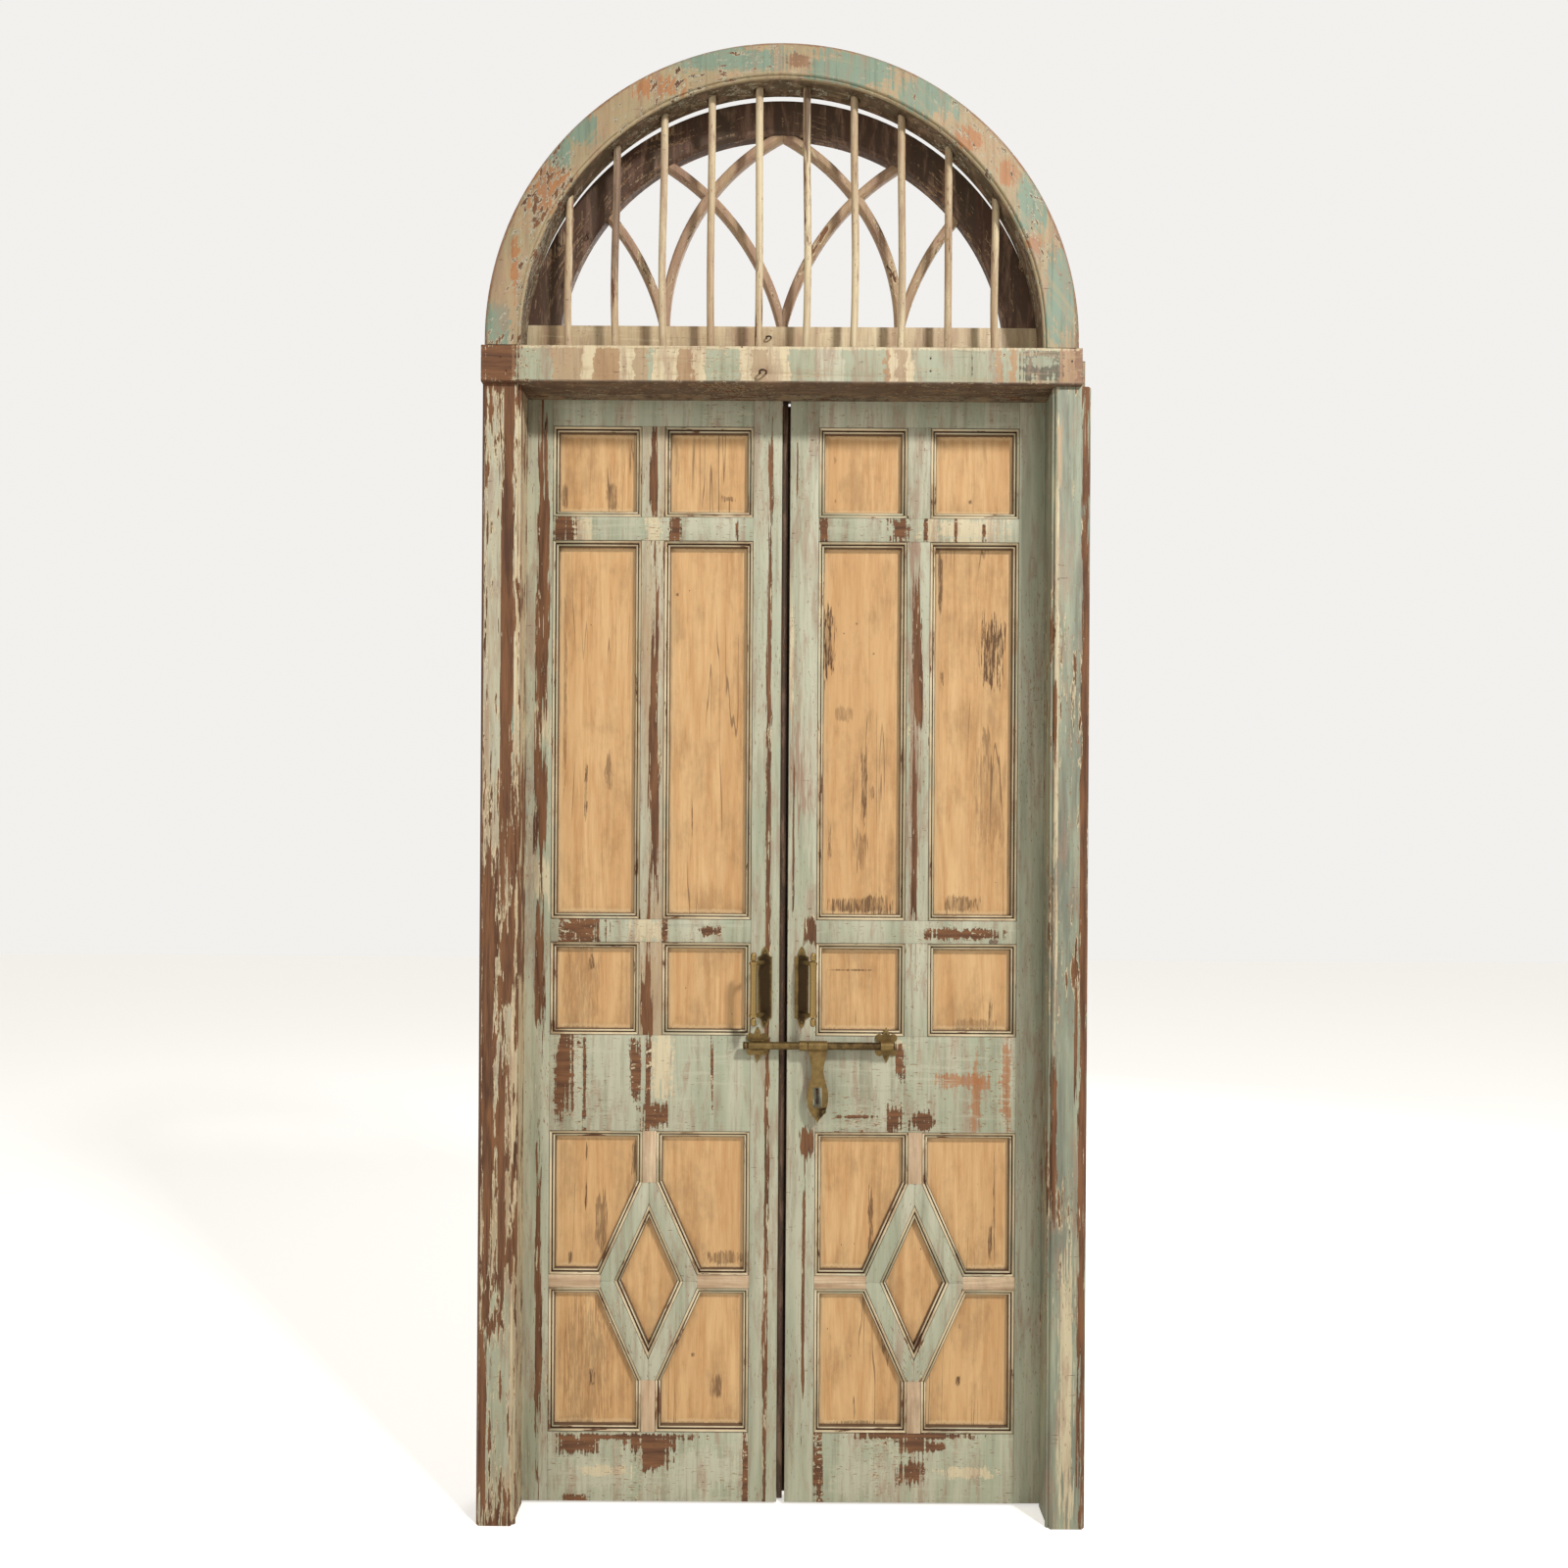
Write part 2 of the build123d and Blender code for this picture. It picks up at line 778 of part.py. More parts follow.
def mitre_point(before, corner, after):
    """Where the mitre at a corner meets the moulding's inner edge."""
    arriving = (Vector(*corner) - Vector(*before)).normalized()
    leaving = (Vector(*after) - Vector(*corner)).normalized()
    inwards = (arriving + leaving).rotate(Axis.Z, 90)
    inner = Vector(*corner) + inwards * (moulding_width / (1 + arriving.dot(leaving)))
    return (inner.X, inner.Y)


def moulding_stick(start, end, inner_end, inner_start):
    """One straight stick of moulding, with its two ends cut just short of the mitres."""
    with BuildLine(elevation(leaf_front + panel_recess)) as edge:
        Line(start, end)
    along = edge.line % 0
    inwards = along.cross(Vector(0, 1, 0))
    short = (Vector(*end) - Vector(*start)).normalized() * mitre_share
    heads = [Vector(*point) + short for point in (start, inner_start)]
    tails = [Vector(*point) - short for point in (inner_end, end)]
    with BuildPart() as stick:
        section = bead_section(Plane(origin=edge.line @ 0, x_dir=inwards, z_dir=along))
        extrude(section, amount=(edge.line @ 1 - edge.line @ 0).length)
        with BuildSketch(elevation(leaf_front + panel_recess)):
            Polygon(*heads, *tails, align=None)
        extrude(amount=panel_recess, mode=Mode.INTERSECT)
    return stick.part


def mouldings(side):
    """Double-bead sticks round each panel, mitred at its corners."""
    with BuildPart() as frames:
        for outline in all_openings:
            corners = [(side * x, z) for x, z in outline][::side]
            following = corners[1:] + corners[:1]
            before = corners[-1:] + corners[:-1]
            inner = [mitre_point(*three) for three in zip(before, corners, following)]
            for four in zip(corners, following, inner[1:] + inner[:1], inner):
                add(moulding_stick(*four))
    return frames


def lower_muntins():
    """Outlines of the two muntins and two cross rails that hold the diamond."""
    members = []
    for sign in (1, -1):
        rail_ends = sorted((column_centre + sign * shoulder_x, column_centre + sign * half_column))
        muntin_ends = sorted((lower_centre + sign * shoulder_z, lower_centre + sign * half_lower))
        members.append(
            box_outline(*rail_ends, lower_centre - half_cross_rail, lower_centre + half_cross_rail)
        )
        members.append(
            box_outline(column_centre - half_muntin, column_centre + half_muntin, *muntin_ends)
        )
    return members


mullion_outlines = [
    box_outline(column_centre - mullion_width / 2, column_centre + mullion_width / 2, *level)
    for level in mullion_levels
]
diamond_members = [quadrant(diamond_outline, right, up) for right, up in quarters]
staple_legs = [
    (hasp_at, hasp_staple_height - hasp_staple_spacing / 2),
    (hasp_at, hasp_staple_height + hasp_staple_spacing / 2),
]

for side, prefix in ((-1, "left"), (1, "right")):
    seats = panel_seats(side)
    leaf_pieces = {
        "hanging_stile": stile(side, hanging_edge, leaf_outer, seats),
        "meeting_stile": stile(side, leaf_inner, meeting_edge, seats),
        "mullions": framing(side, mullion_outlines, seats, mullion_tenons),
        "lower_muntins": framing(side, lower_muntins(), seats),
        "diamond_frame": framing(side, diamond_members, seats),
        "small_panels": panels(side, small_openings),
        "tall_panels": panels(side, tall_openings),
        "square_panels": panels(side, square_openings),
        "corner_panels": panels(side, corner_openings),
        "diamond_panel": panels(side, [diamond_opening]),
        "mouldings": mouldings(side),
    }
    for index, name in enumerate(rail_levels):
        holds_staple = side > 0 and name == "lock_rail"
        leaf_pieces[name] = rail(side, index, seats, staple_legs if holds_staple else ())
    for name, piece in leaf_pieces.items():
        piece.part.label = f"{prefix}_{name}"
        export_step(piece.part, f"parts/{prefix}_{name}.step")


# Pull handles

def handle_plate_outline(plane):
    """Long back plate with an onion-shaped tip at each end."""
    half_width = handle_plate_width / 2
    half_length = handle_plate_length / 2
    straight = half_length - handle_tip_length
    notch = half_width / 2
    notch_middle = notch * sin(radians(45))
    with BuildSketch(plane) as outline:
        with BuildLine():
            Line((half_width, 0), (half_width, straight))
            ThreePointArc(
                (half_width, straight),
                (half_width - notch_middle, straight + notch - notch_middle),
                (half_width - notch, straight + notch),
            )
            ThreePointArc(
                (half_width - notch, straight + notch),
                (notch * 0.75, (straight + notch + half_length) / 2),
                (0, half_length),
            )
            mirror(about=Plane.YZ)
            mirror(about=Plane.XZ)
        make_face()
    return outline.sketch


def grip_profile(plane):
    """Half section of the turned grip: waisted middle, collars, necks and ball finials."""
    collar_start = grip_length / 2
    collar_end = collar_start + collar_height
    neck_end = collar_end + neck_height
    tip = neck_end + finial_height
    with BuildSketch(plane) as profile:
        with BuildLine():
            ThreePointArc(
                (grip_radius, -collar_start), (grip_waist_radius, 0), (grip_radius, collar_start)
            )
            for end in (-1, 1):
                Polyline(
                    (grip_radius, end * collar_start),
                    (collar_radius, end * collar_start),
                    (collar_radius, end * collar_end),
                    (neck_radius, end * collar_end),
                    (neck_radius, end * neck_end),
                )
                Spline(
                    (neck_radius, end * neck_end),
                    (finial_radius, end * (neck_end + finial_height / 2)),
                    (0, end * tip),
                    tangents=((1, end), (-1, 0)),
                )
            Line((0, -tip), (0, tip))
        make_face()
    return profile.sketch


def pull_handle(side):
    """Back plate, two cranked arms and a grip that stands off to the outer side."""
    plate_x = side * handle_from_centre
    plate_y = front_y + leaf_front
    grip_x = plate_x + side * grip_offset
    grip_y = plate_y - grip_standoff
    with BuildPart() as handle:
        plate = handle_plate_outline(elevation(leaf_front, plate_x, handle_height))
        extrude(plate, amount=handle_plate_thickness)
        grip = grip_profile(elevation(leaf_front - grip_standoff, grip_x, handle_height))
        revolve(grip, axis=Axis((grip_x, grip_y, handle_height), (0, 0, 1)))
        for end in (-1, 1):
            arm_level = handle_height + end * (grip_length + collar_height) / 2
            with BuildLine(Plane.XY.offset(arm_level)) as arm:
                FilletPolyline(
                    (plate_x, plate_y), (plate_x, plate_y - arm_reach), (grip_x, grip_y),
                    radius=arm_bend_radius,
                )
            with BuildSketch(Plane(origin=arm.line @ 0, z_dir=arm.line % 0)):
                Circle(arm_radius)
            sweep(path=arm.line)
    return handle


left_handle = pull_handle(-1)
left_handle.part.label = "left_handle"
export_step(left_handle.part, "parts/left_handle.step")

right_handle = pull_handle(1)
right_handle.part.label = "right_handle"
export_step(right_handle.part, "parts/right_handle.step")


# Sliding bolt, keeper and hasp

def flower_plate(x):
    """Flat flower on the leaf: two long points and four round petals round a heart."""
    with BuildPart() as flower:
        with BuildSketch(elevation(leaf_front, x, bolt_height)):
            Circle(flower_heart_radius)
            with PolarLocations(flower_petal_ring, 4, start_angle=45):
                Circle(flower_petal_radius)
            with BuildLine():
                ThreePointArc((0, -flower_point), (flower_point_half_width, 0), (0, flower_point))
                ThreePointArc((0, flower_point), (-flower_point_half_width, 0), (0, -flower_point))
            make_face()
        extrude(amount=flower_thickness)
    return flower.part


def rod_eye(x, length):
    """Closed eye round the rod, on a foot that reaches back to the leaf."""
    with BuildPart() as eye:
        with BuildSketch(cross_plane(x - length / 2, bolt_y, bolt_height)):
            Circle(rod_radius + rod_clearance + eye_wall)
            Rectangle(bolt_standoff, eye_stem_height, align=(Align.MIN, Align.CENTER))
            Circle(rod_radius + rod_clearance, mode=Mode.SUBTRACT)
        extrude(amount=length)
    return eye.part


with BuildPart() as bolt_guides:
    add(rod_eye(middle_guide_at, middle_guide_length))
    add(flower_plate(end_guide_at))
    add(rod_eye(end_guide_at, end_guide_length))
bolt_guides.part.label = "bolt_guides"
export_step(bolt_guides.part, "parts/bolt_guides.step")

with BuildPart() as bolt_keeper:
    add(flower_plate(keeper_at))
    seat = rod_radius + keeper_clearance
    with BuildSketch(cross_plane(keeper_at - keeper_length / 2, bolt_y, bolt_height)):
        Rectangle(bolt_standoff, 2 * (seat + eye_wall), align=(Align.MIN, Align.CENTER))
        Rectangle(seat, 2 * seat, align=(Align.MIN, Align.CENTER), mode=Mode.SUBTRACT)
    extrude(amount=keeper_length)
    jaw_tips = bolt_keeper.edges().group_by(Axis.Y)[0].filter_by(Axis.X)
    fillet(jaw_tips, radius=jaw_round)
bolt_keeper.part.label = "bolt_keeper"
export_step(bolt_keeper.part, "parts/bolt_keeper.step")

with BuildPart() as bolt_rod:
    with BuildSketch(cross_plane(rod_left_end, bolt_y, bolt_height)):
        Circle(rod_radius)
    extrude(amount=rod_right_end - rod_left_end)
    fillet(bolt_rod.edges().filter_by(GeomType.CIRCLE), radius=rod_end_round)
    with BuildSketch(cross_plane(rod_groove_at, bolt_y, bolt_height)):
        Circle(rod_radius)
        Circle(rod_radius - rod_groove_depth, mode=Mode.SUBTRACT)
    extrude(amount=rod_groove_width / 2, both=True, mode=Mode.SUBTRACT)
bolt_rod.part.label = "bolt_rod"
export_step(bolt_rod.part, "parts/bolt_rod.step")

hasp_plane_depth = leaf_front - bolt_standoff + hasp_thickness / 2
with BuildPart() as hasp:
    with BuildSketch(elevation(hasp_plane_depth, hasp_at, bolt_height)):
        with BuildLine():
            Line((0, 0), (hasp_top_half_width, 0))
            Spline(
                (hasp_top_half_width, 0),
                (hasp_waist_half_width, -hasp_waist_drop),
                (hasp_belly_half_width, -hasp_belly_drop),
                (hasp_tail_half_width, -hasp_tail_drop),
                (0, -hasp_length),
                tangents=((0, -1), (-0.3, -1)),
            )
            mirror(about=Plane.YZ)
        make_face()
        with Locations((0, -hasp_slot_drop)):
            RectangleRounded(
                hasp_slot_width, hasp_slot_height, hasp_slot_round, mode=Mode.SUBTRACT
            )
    extrude(amount=hasp_thickness)
    with BuildSketch(elevation(hasp_plane_depth - hasp_thickness, hasp_at, bolt_height)):
        with Locations((hasp_knob_side, -hasp_knob_drop)):
            Circle(hasp_knob_radius)
    extrude(amount=hasp_knob_height)
    fillet(hasp.faces().sort_by(Axis.Y)[0].edges(), radius=hasp_knob_radius / 3)
    with BuildSketch(cross_plane(hasp_at, bolt_y, bolt_height)):
        Circle(rod_radius + rod_clearance + eye_wall)
    extrude(amount=hasp_top_half_width, both=True)
    with BuildSketch(cross_plane(hasp_at, bolt_y, bolt_height)):
        Circle(rod_radius + rod_clearance)
    extrude(amount=hasp_top_half_width, both=True, mode=Mode.SUBTRACT)
hasp.part.label = "hasp"
export_step(hasp.part, "parts/hasp.step")

with BuildPart() as hasp_staple:
    add(
        staple(
            upright_staple_plane(hasp_at, leaf_front, hasp_staple_height),
            hasp_staple_spacing,
            hasp_staple_projection,
            hasp_staple_wire,
            staple_bury,
        )
    )
hasp_staple.part.label = "hasp_staple"
export_step(hasp_staple.part, "parts/hasp_staple.step")


# Butt hinges

def hinge_halves(side, on_leaf):
    """One half of each of a leaf's hinges: a plate on the back, and its share of the knuckles."""
    centre = (side * hinge_x, hinge_y)
    direction = -side if on_leaf else side
    side_align = Align.MIN if direction > 0 else Align.MAX
    knuckle_length = hinge_length / knuckle_count
    clear = knuckle_radius + knuckle_gap
    with BuildPart() as halves:
        for height in hinge_heights:
            base = height - hinge_length / 2
            with BuildSketch(Plane.XY.offset(base)):
                with Locations((centre[0] + direction * clear, hinge_y - hinge_axis_back)):
                    Rectangle(
                        hinge_plate_width - clear,
                        hinge_plate_thickness,
                        align=(side_align, Align.MIN),
                    )
            extrude(amount=hinge_length)
            for index in range(1 if on_leaf else 0, knuckle_count, 2):
                with BuildSketch(Plane.XY.offset(base + index * knuckle_length + knuckle_gap / 2)):
                    with Locations(centre):
                        Circle(knuckle_radius)
                    with Locations((centre[0], hinge_y - hinge_axis_back)):
                        Rectangle(clear, hinge_plate_thickness, align=(side_align, Align.MIN))
                    with Locations(centre):
                        Circle(pin_radius + pin_clearance, mode=Mode.SUBTRACT)
                extrude(amount=knuckle_length - knuckle_gap)
    return halves


for side, prefix in ((-1, "left"), (1, "right")):
    for on_leaf, half_name in ((False, "frame"), (True, "leaf")):
        hinge_half = hinge_halves(side, on_leaf)
        hinge_half.part.label = f"{prefix}_hinge_{half_name}_halves"
        export_step(hinge_half.part, f"parts/{prefix}_hinge_{half_name}_halves.step")

with BuildPart() as hinge_pins:
    for height in hinge_heights:
        with BuildSketch(Plane.XY.offset(height - hinge_length / 2)):
            with Locations((-hinge_x, hinge_y), (hinge_x, hinge_y)):
                Circle(pin_radius)
        extrude(amount=hinge_length)
        with BuildSketch(Plane.XY.offset(height + hinge_length / 2 - knuckle_gap / 2)):
            with Locations((-hinge_x, hinge_y), (hinge_x, hinge_y)):
                Circle(pin_head_radius)
        extrude(amount=pin_head_height)
hinge_pins.part.label = "hinge_pins"
export_step(hinge_pins.part, "parts/hinge_pins.step")
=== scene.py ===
"""Arched double door: flaking paint, bare panels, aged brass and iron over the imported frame."""

import json
import math

import bmesh
import bpy
from mathutils import Color, Matrix, Vector, noise

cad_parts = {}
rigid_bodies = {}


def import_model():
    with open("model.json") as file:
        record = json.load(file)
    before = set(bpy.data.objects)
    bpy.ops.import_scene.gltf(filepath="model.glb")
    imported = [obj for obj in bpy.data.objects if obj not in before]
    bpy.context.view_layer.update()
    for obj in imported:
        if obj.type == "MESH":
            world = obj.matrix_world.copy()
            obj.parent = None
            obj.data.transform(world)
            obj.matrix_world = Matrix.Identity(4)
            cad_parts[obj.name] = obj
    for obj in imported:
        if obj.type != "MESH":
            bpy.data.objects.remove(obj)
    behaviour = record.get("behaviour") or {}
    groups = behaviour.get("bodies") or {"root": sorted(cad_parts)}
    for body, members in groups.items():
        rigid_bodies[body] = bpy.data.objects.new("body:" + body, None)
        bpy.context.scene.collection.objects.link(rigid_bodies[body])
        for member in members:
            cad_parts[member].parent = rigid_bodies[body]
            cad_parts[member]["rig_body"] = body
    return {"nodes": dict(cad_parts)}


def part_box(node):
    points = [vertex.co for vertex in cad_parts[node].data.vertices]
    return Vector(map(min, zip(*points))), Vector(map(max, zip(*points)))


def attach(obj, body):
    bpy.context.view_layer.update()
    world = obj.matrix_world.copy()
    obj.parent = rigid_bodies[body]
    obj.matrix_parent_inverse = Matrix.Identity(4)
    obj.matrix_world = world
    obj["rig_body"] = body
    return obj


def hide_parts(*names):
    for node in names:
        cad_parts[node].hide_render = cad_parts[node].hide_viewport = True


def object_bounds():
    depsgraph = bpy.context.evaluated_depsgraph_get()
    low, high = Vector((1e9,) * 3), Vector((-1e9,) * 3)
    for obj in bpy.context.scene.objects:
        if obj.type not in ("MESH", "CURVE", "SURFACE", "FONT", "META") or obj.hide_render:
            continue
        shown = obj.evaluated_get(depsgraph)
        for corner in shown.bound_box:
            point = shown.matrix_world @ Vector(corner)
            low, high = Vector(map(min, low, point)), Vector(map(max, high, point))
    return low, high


bl_info = {
    "name": "Arched double door",
    "version": (1, 0, 0),
    "blender": (4, 5, 0),
    "location": "3D View > Sidebar > Door",
    "description": "Dresses the packed door in worn paint, bare wood, brass and iron",
    "category": "Object",
}

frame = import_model()
CAD_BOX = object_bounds()

# The photo's side and the row of the door's foot in it, in pixels
PHOTO_PIXELS = 1600
PHOTO_FOOT = 1562

# Meshes: points nearer than MERGE become one, faces within FLAT too, or within METAL_FLAT on metal, and
# edges above SHARP are rounded.
MERGE = 1e-5
FLAT = math.radians(0.6)
METAL_FLAT = math.radians(0.2)
SHARP = math.radians(40)
SLIGHT_WANDER = 0.0003

# The points wander the same way in each run
WANDER_SEED = 7

# Added behind a front, where it puts every mark out of reach
BEHIND = 9.0

# The mouldings' quirk and foot, from the outer edge of a stick, where painted shade darkens the coat
QUIRK = 0.0067
FOOT = 0.0117

# Brass: reach and curve of the grips' painted highlight, and how bright the edges and the screws are rubbed
GRIP_HIGHLIGHT_REACH = 0.045
GRIP_HIGHLIGHT_CURVE = 1.6
EDGE_RUB = 0.4
SCREW_RUB = 0.6

# Fittings on the leaves
PLATE_FROM_CENTRE = 0.039
PLATE_THICKNESS = 0.003
FLOWER_HALF = 0.0233
FLOWER_THICKNESS = 0.003
STRIP_GAP = 0.0003
STRIP_SHORT = 0.001

# Screws and nails. Those on the leaves and the transom are shares of the hinge screws' size, and
# HINGE_SCREWS and HINGE_SHARE are places on a hinge half, up it and across it.
SCREW_FROM_END = 0.014
SMALL_SCREW = 0.60
NAIL = 0.55
SCREW_DISC = 0.0006
SLOT_WIDTH = 0.0009
SLOT_DEPTH = 0.0005
HINGE_SCREWS = (0.17, 0.50, 0.83)
HINGE_SHARE = 0.25
TRANSOM_NAILS = ((-0.585, 0.012), (-0.573, -0.016), (0.293, 0.014), (0.293, -0.012), (0.582, 0.010))

# Lamps, backdrop and camera
KEY_PLACE = Vector((3.9, -5.0, 6.6))
FILL_PLACE = Vector((-3.2, -3.4, 1.9))
BACK_PLACE = Vector((1.8, 3.4, 3.4))
KEY_SIZE = 0.8
WIDE_LAMP = 2.6
SKY_COLOUR = (1.0, 0.985, 0.96, 1.0)
SKY_SEEN = 0.89
FLOOR_SEEN = 0.76
FLOOR_HALF = 14.0
SENSOR_WIDTH = 36.0
CAMERA_ROLL = math.radians(-0.35)

# The arch ring's width, and the height of the sash rim's centre over the foot of its bottom rail
RING_WIDTH = 0.074
RIM_RISE = 0.012

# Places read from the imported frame
LEAF_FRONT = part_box("left_lock_rail")[0].y
PANEL_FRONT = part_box("left_tall_panels")[0].y
ARCH_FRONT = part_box("transom_rail")[0].y
TRANSOM_LOW, TRANSOM_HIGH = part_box("transom_rail")
ARCH_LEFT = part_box("arch_left_haunch")[0].x
ARCH_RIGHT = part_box("arch_right_haunch")[1].x
ARCH_RADIUS = (ARCH_RIGHT - ARCH_LEFT) / 2
ARCH_INNER = ARCH_RADIUS - RING_WIDTH
ARCH_CENTRE = Vector(((ARCH_LEFT + ARCH_RIGHT) / 2, 0.0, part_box("arch_left_crown")[1].z - ARCH_RADIUS))
RIM_LOW, RIM_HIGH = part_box("sash_rim")
RIM_CENTRE = Vector(((RIM_LOW.x + RIM_HIGH.x) / 2, 0.0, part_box("sash_bottom_rail")[0].z + RIM_RISE))

# Where the old coats have gone or have another colour: kind, x, z, half width, half height, on the front.
# A kind is "bare" for bare wood, or the name of a colour.
MARKS = {
    "left_jamb": (
        ("bare", -0.624, 1.17, 0.005, 1.20), ("pale", -0.600, 2.10, 0.015, 0.24),
        ("bare", -0.570, 1.90, 0.012, 0.46), ("bare", -0.572, 1.484, 0.010, 0.034),
        ("teal", -0.559, 1.646, 0.003, 0.084), ("cream", -0.552, 1.20, 0.003, 1.10),
        ("bare", -0.605, 0.95, 0.010, 0.40), ("bare", -0.575, 0.72, 0.006, 0.22),
        ("sage", -0.587, 0.24, 0.026, 0.24), ("bare", -0.612, 0.20, 0.006, 0.16)),
    "right_jamb": (
        ("bare", 0.6155, 1.17, 0.008, 1.25), ("cream", 0.556, 1.75, 0.004, 0.55),
        ("tan", 0.559, 2.198, 0.005, 0.058), ("bare", 0.553, 1.662, 0.003, 0.062),
        ("bare", 0.556, 0.80, 0.006, 0.12), ("umber", 0.559, 1.948, 0.002, 0.002),
        ("cream", 0.585, 0.30, 0.014, 0.25), ("bare", 0.600, 1.02, 0.003, 0.11)),
    "arch": (
        ("teal", -0.591, 2.454, 0.022, 0.042), ("teal", -0.4195, 2.855, 0.030, 0.025),
        ("teal", -0.4665, 2.811, 0.0225, 0.035), ("teal", -0.111, 3.001, 0.110, 0.021),
        ("teal", 0.1275, 2.985, 0.085, 0.033), ("teal", 0.2855, 2.9285, 0.0585, 0.0385),
        ("teal", 0.495, 2.707, 0.028, 0.051), ("teal", 0.556, 2.523, 0.028, 0.092),
        ("rust", -0.484, 2.736, 0.040, 0.040), ("rust", -0.5565, 2.584, 0.0075, 0.058),
        ("rust", -0.2655, 2.947, 0.0445, 0.017), ("rust", 0.372, 2.842, 0.023, 0.023),
        ("rust", 0.449, 2.7735, 0.018, 0.0255), ("rust", 0.5025, 2.630, 0.0155, 0.015),
        ("brown", 0.02, 3.0, 0.022, 0.014)),
    "transom_rail": (
        ("umber", -0.597, 2.376, 0.014, 0.012), ("bare", -0.592, 2.38, 0.036, 0.05),
        ("olive", 0.5205, 2.382, 0.034, 0.030), ("sage", 0.5205, 2.390, 0.024, 0.010),
        ("umber", 0.378, 2.380, 0.0015, 0.034), ("cream", 0.0, 2.4155, 0.62, 0.004)),
    "grille_bars": (
        ("umber", -0.353, 2.70, 0.012, 0.12), ("umber", 0.041, 2.90, 0.010, 0.06)),
    "left_hanging_stile": (
        ("bare", -0.515, 1.975, 0.013, 0.290), ("cream", -0.515, 1.656, 0.016, 0.040),
        ("bare", -0.516, 1.48, 0.012, 0.105), ("cream", -0.515, 1.33, 0.016, 0.05),
        ("bare", -0.517, 1.14, 0.010, 0.145), ("bare", -0.517, 0.41, 0.006, 0.28),
        ("pale", -0.545, 1.20, 0.010, 1.15)),
    "left_meeting_stile": (
        ("bare", -0.034, 1.13, 0.0055, 1.10), ("umber", -0.034, 1.695, 0.006, 0.026)),
    "right_meeting_stile": (
        ("cream", 0.013, 1.80, 0.005, 0.12), ("bare", 0.0235, 2.19, 0.002, 0.06),
        ("mauve", 0.040, 1.565, 0.024, 0.10), ("bare", 0.020, 1.435, 0.002, 0.135),
        ("bare", 0.060, 1.218, 0.015, 0.026), ("bare", 0.050, 0.77, 0.015, 0.027),
        ("bare", 0.046, 0.44, 0.003, 0.24), ("pale", 0.050, 1.90, 0.014, 0.40)),
    "left_mullions": (
        ("bare", -0.281, 2.19, 0.007, 0.09), ("bare", -0.277, 1.575, 0.010, 0.335),
        ("bare", -0.290, 1.06, 0.010, 0.08), ("tan", -0.281, 1.10, 0.022, 0.07)),
    "right_mullions": (
        ("bare", 0.2825, 1.83, 0.009, 0.150), ("bare", 0.277, 1.425, 0.006, 0.160),
        ("mauve", 0.275, 1.65, 0.012, 0.42), ("pale", 0.283, 2.19, 0.022, 0.09)),
    "left_upper_rail": (
        ("bare", -0.4765, 2.071, 0.022, 0.030), ("bare", -0.235, 2.071, 0.009, 0.028),
        ("bare", -0.105, 2.071, 0.003, 0.025), ("cream", -0.434, 2.071, 0.019, 0.026),
        ("cream", -0.28, 2.071, 0.014, 0.026)),
    "right_upper_rail": (
        ("bare", 0.080, 2.071, 0.008, 0.028), ("bare", 0.239, 2.071, 0.018, 0.028),
        ("bare", 0.296, 2.071, 0.004, 0.026), ("cream", 0.375, 2.071, 0.075, 0.024),
        ("bare", 0.36, 2.071, 0.003, 0.02), ("bare", 0.42, 2.068, 0.004, 0.02)),
    "left_middle_rail": (
        ("bare", -0.4385, 1.2175, 0.048, 0.034), ("bare", -0.252, 1.2175, 0.006, 0.028),
        ("cream", -0.29, 1.2175, 0.030, 0.026), ("bare", -0.151, 1.2175, 0.020, 0.010)),
    "right_middle_rail": (
        ("bare", 0.385, 1.214, 0.080, 0.010), ("umber", 0.4455, 1.198, 0.010, 0.006)),
    "left_lock_rail": (
        ("bare", -0.4655, 0.9185, 0.0170, 0.078), ("pale", -0.438, 0.894, 0.010, 0.10),
        ("bare", -0.421, 0.894, 0.004, 0.10), ("bare", -0.3125, 0.929, 0.010, 0.062),
        ("bare", -0.286, 0.894, 0.006, 0.10), ("bare", -0.270, 0.825, 0.025, 0.025),
        ("cream", -0.255, 0.93, 0.022, 0.06), ("bare", -0.150, 0.90, 0.003, 0.08)),
    "right_lock_rail": (
        ("cream", 0.235, 0.976, 0.025, 0.014), ("bare", 0.2485, 0.946, 0.010, 0.032),
        ("bare", 0.238, 0.82, 0.015, 0.025), ("bare", 0.2985, 0.8175, 0.0255, 0.0175),
        ("rust", 0.386, 0.9015, 0.052, 0.0135), ("rust", 0.410, 0.8675, 0.010, 0.0675),
        ("rust", 0.474, 0.885, 0.009, 0.091), ("bare", 0.159, 0.825, 0.034, 0.003)),
    "left_bottom_rail": (
        ("bare", -0.430, 0.1255, 0.040, 0.0185), ("bare", -0.271, 0.1285, 0.050, 0.0155),
        ("bare", -0.071, 0.073, 0.011, 0.067), ("bare", -0.433, 0.012, 0.027, 0.007),
        ("bare", -0.330, 0.142, 0.140, 0.006), ("bare", -0.268, 0.105, 0.030, 0.030),
        ("pale", -0.390, 0.062, 0.070, 0.028), ("cream", -0.370, 0.070, 0.050, 0.010),
        ("pale", -0.155, 0.075, 0.065, 0.035)),
    "right_bottom_rail": (
        ("bare", 0.0765, 0.078, 0.0115, 0.074), ("bare", 0.279, 0.130, 0.029, 0.017),
        ("bare", 0.33, 0.125, 0.02, 0.008), ("bare", 0.279, 0.070, 0.025, 0.026),
        ("bare", 0.285, 0.148, 0.120, 0.006), ("pale", 0.180, 0.060, 0.060, 0.030),
        ("cream", 0.400, 0.070, 0.050, 0.010)),
}

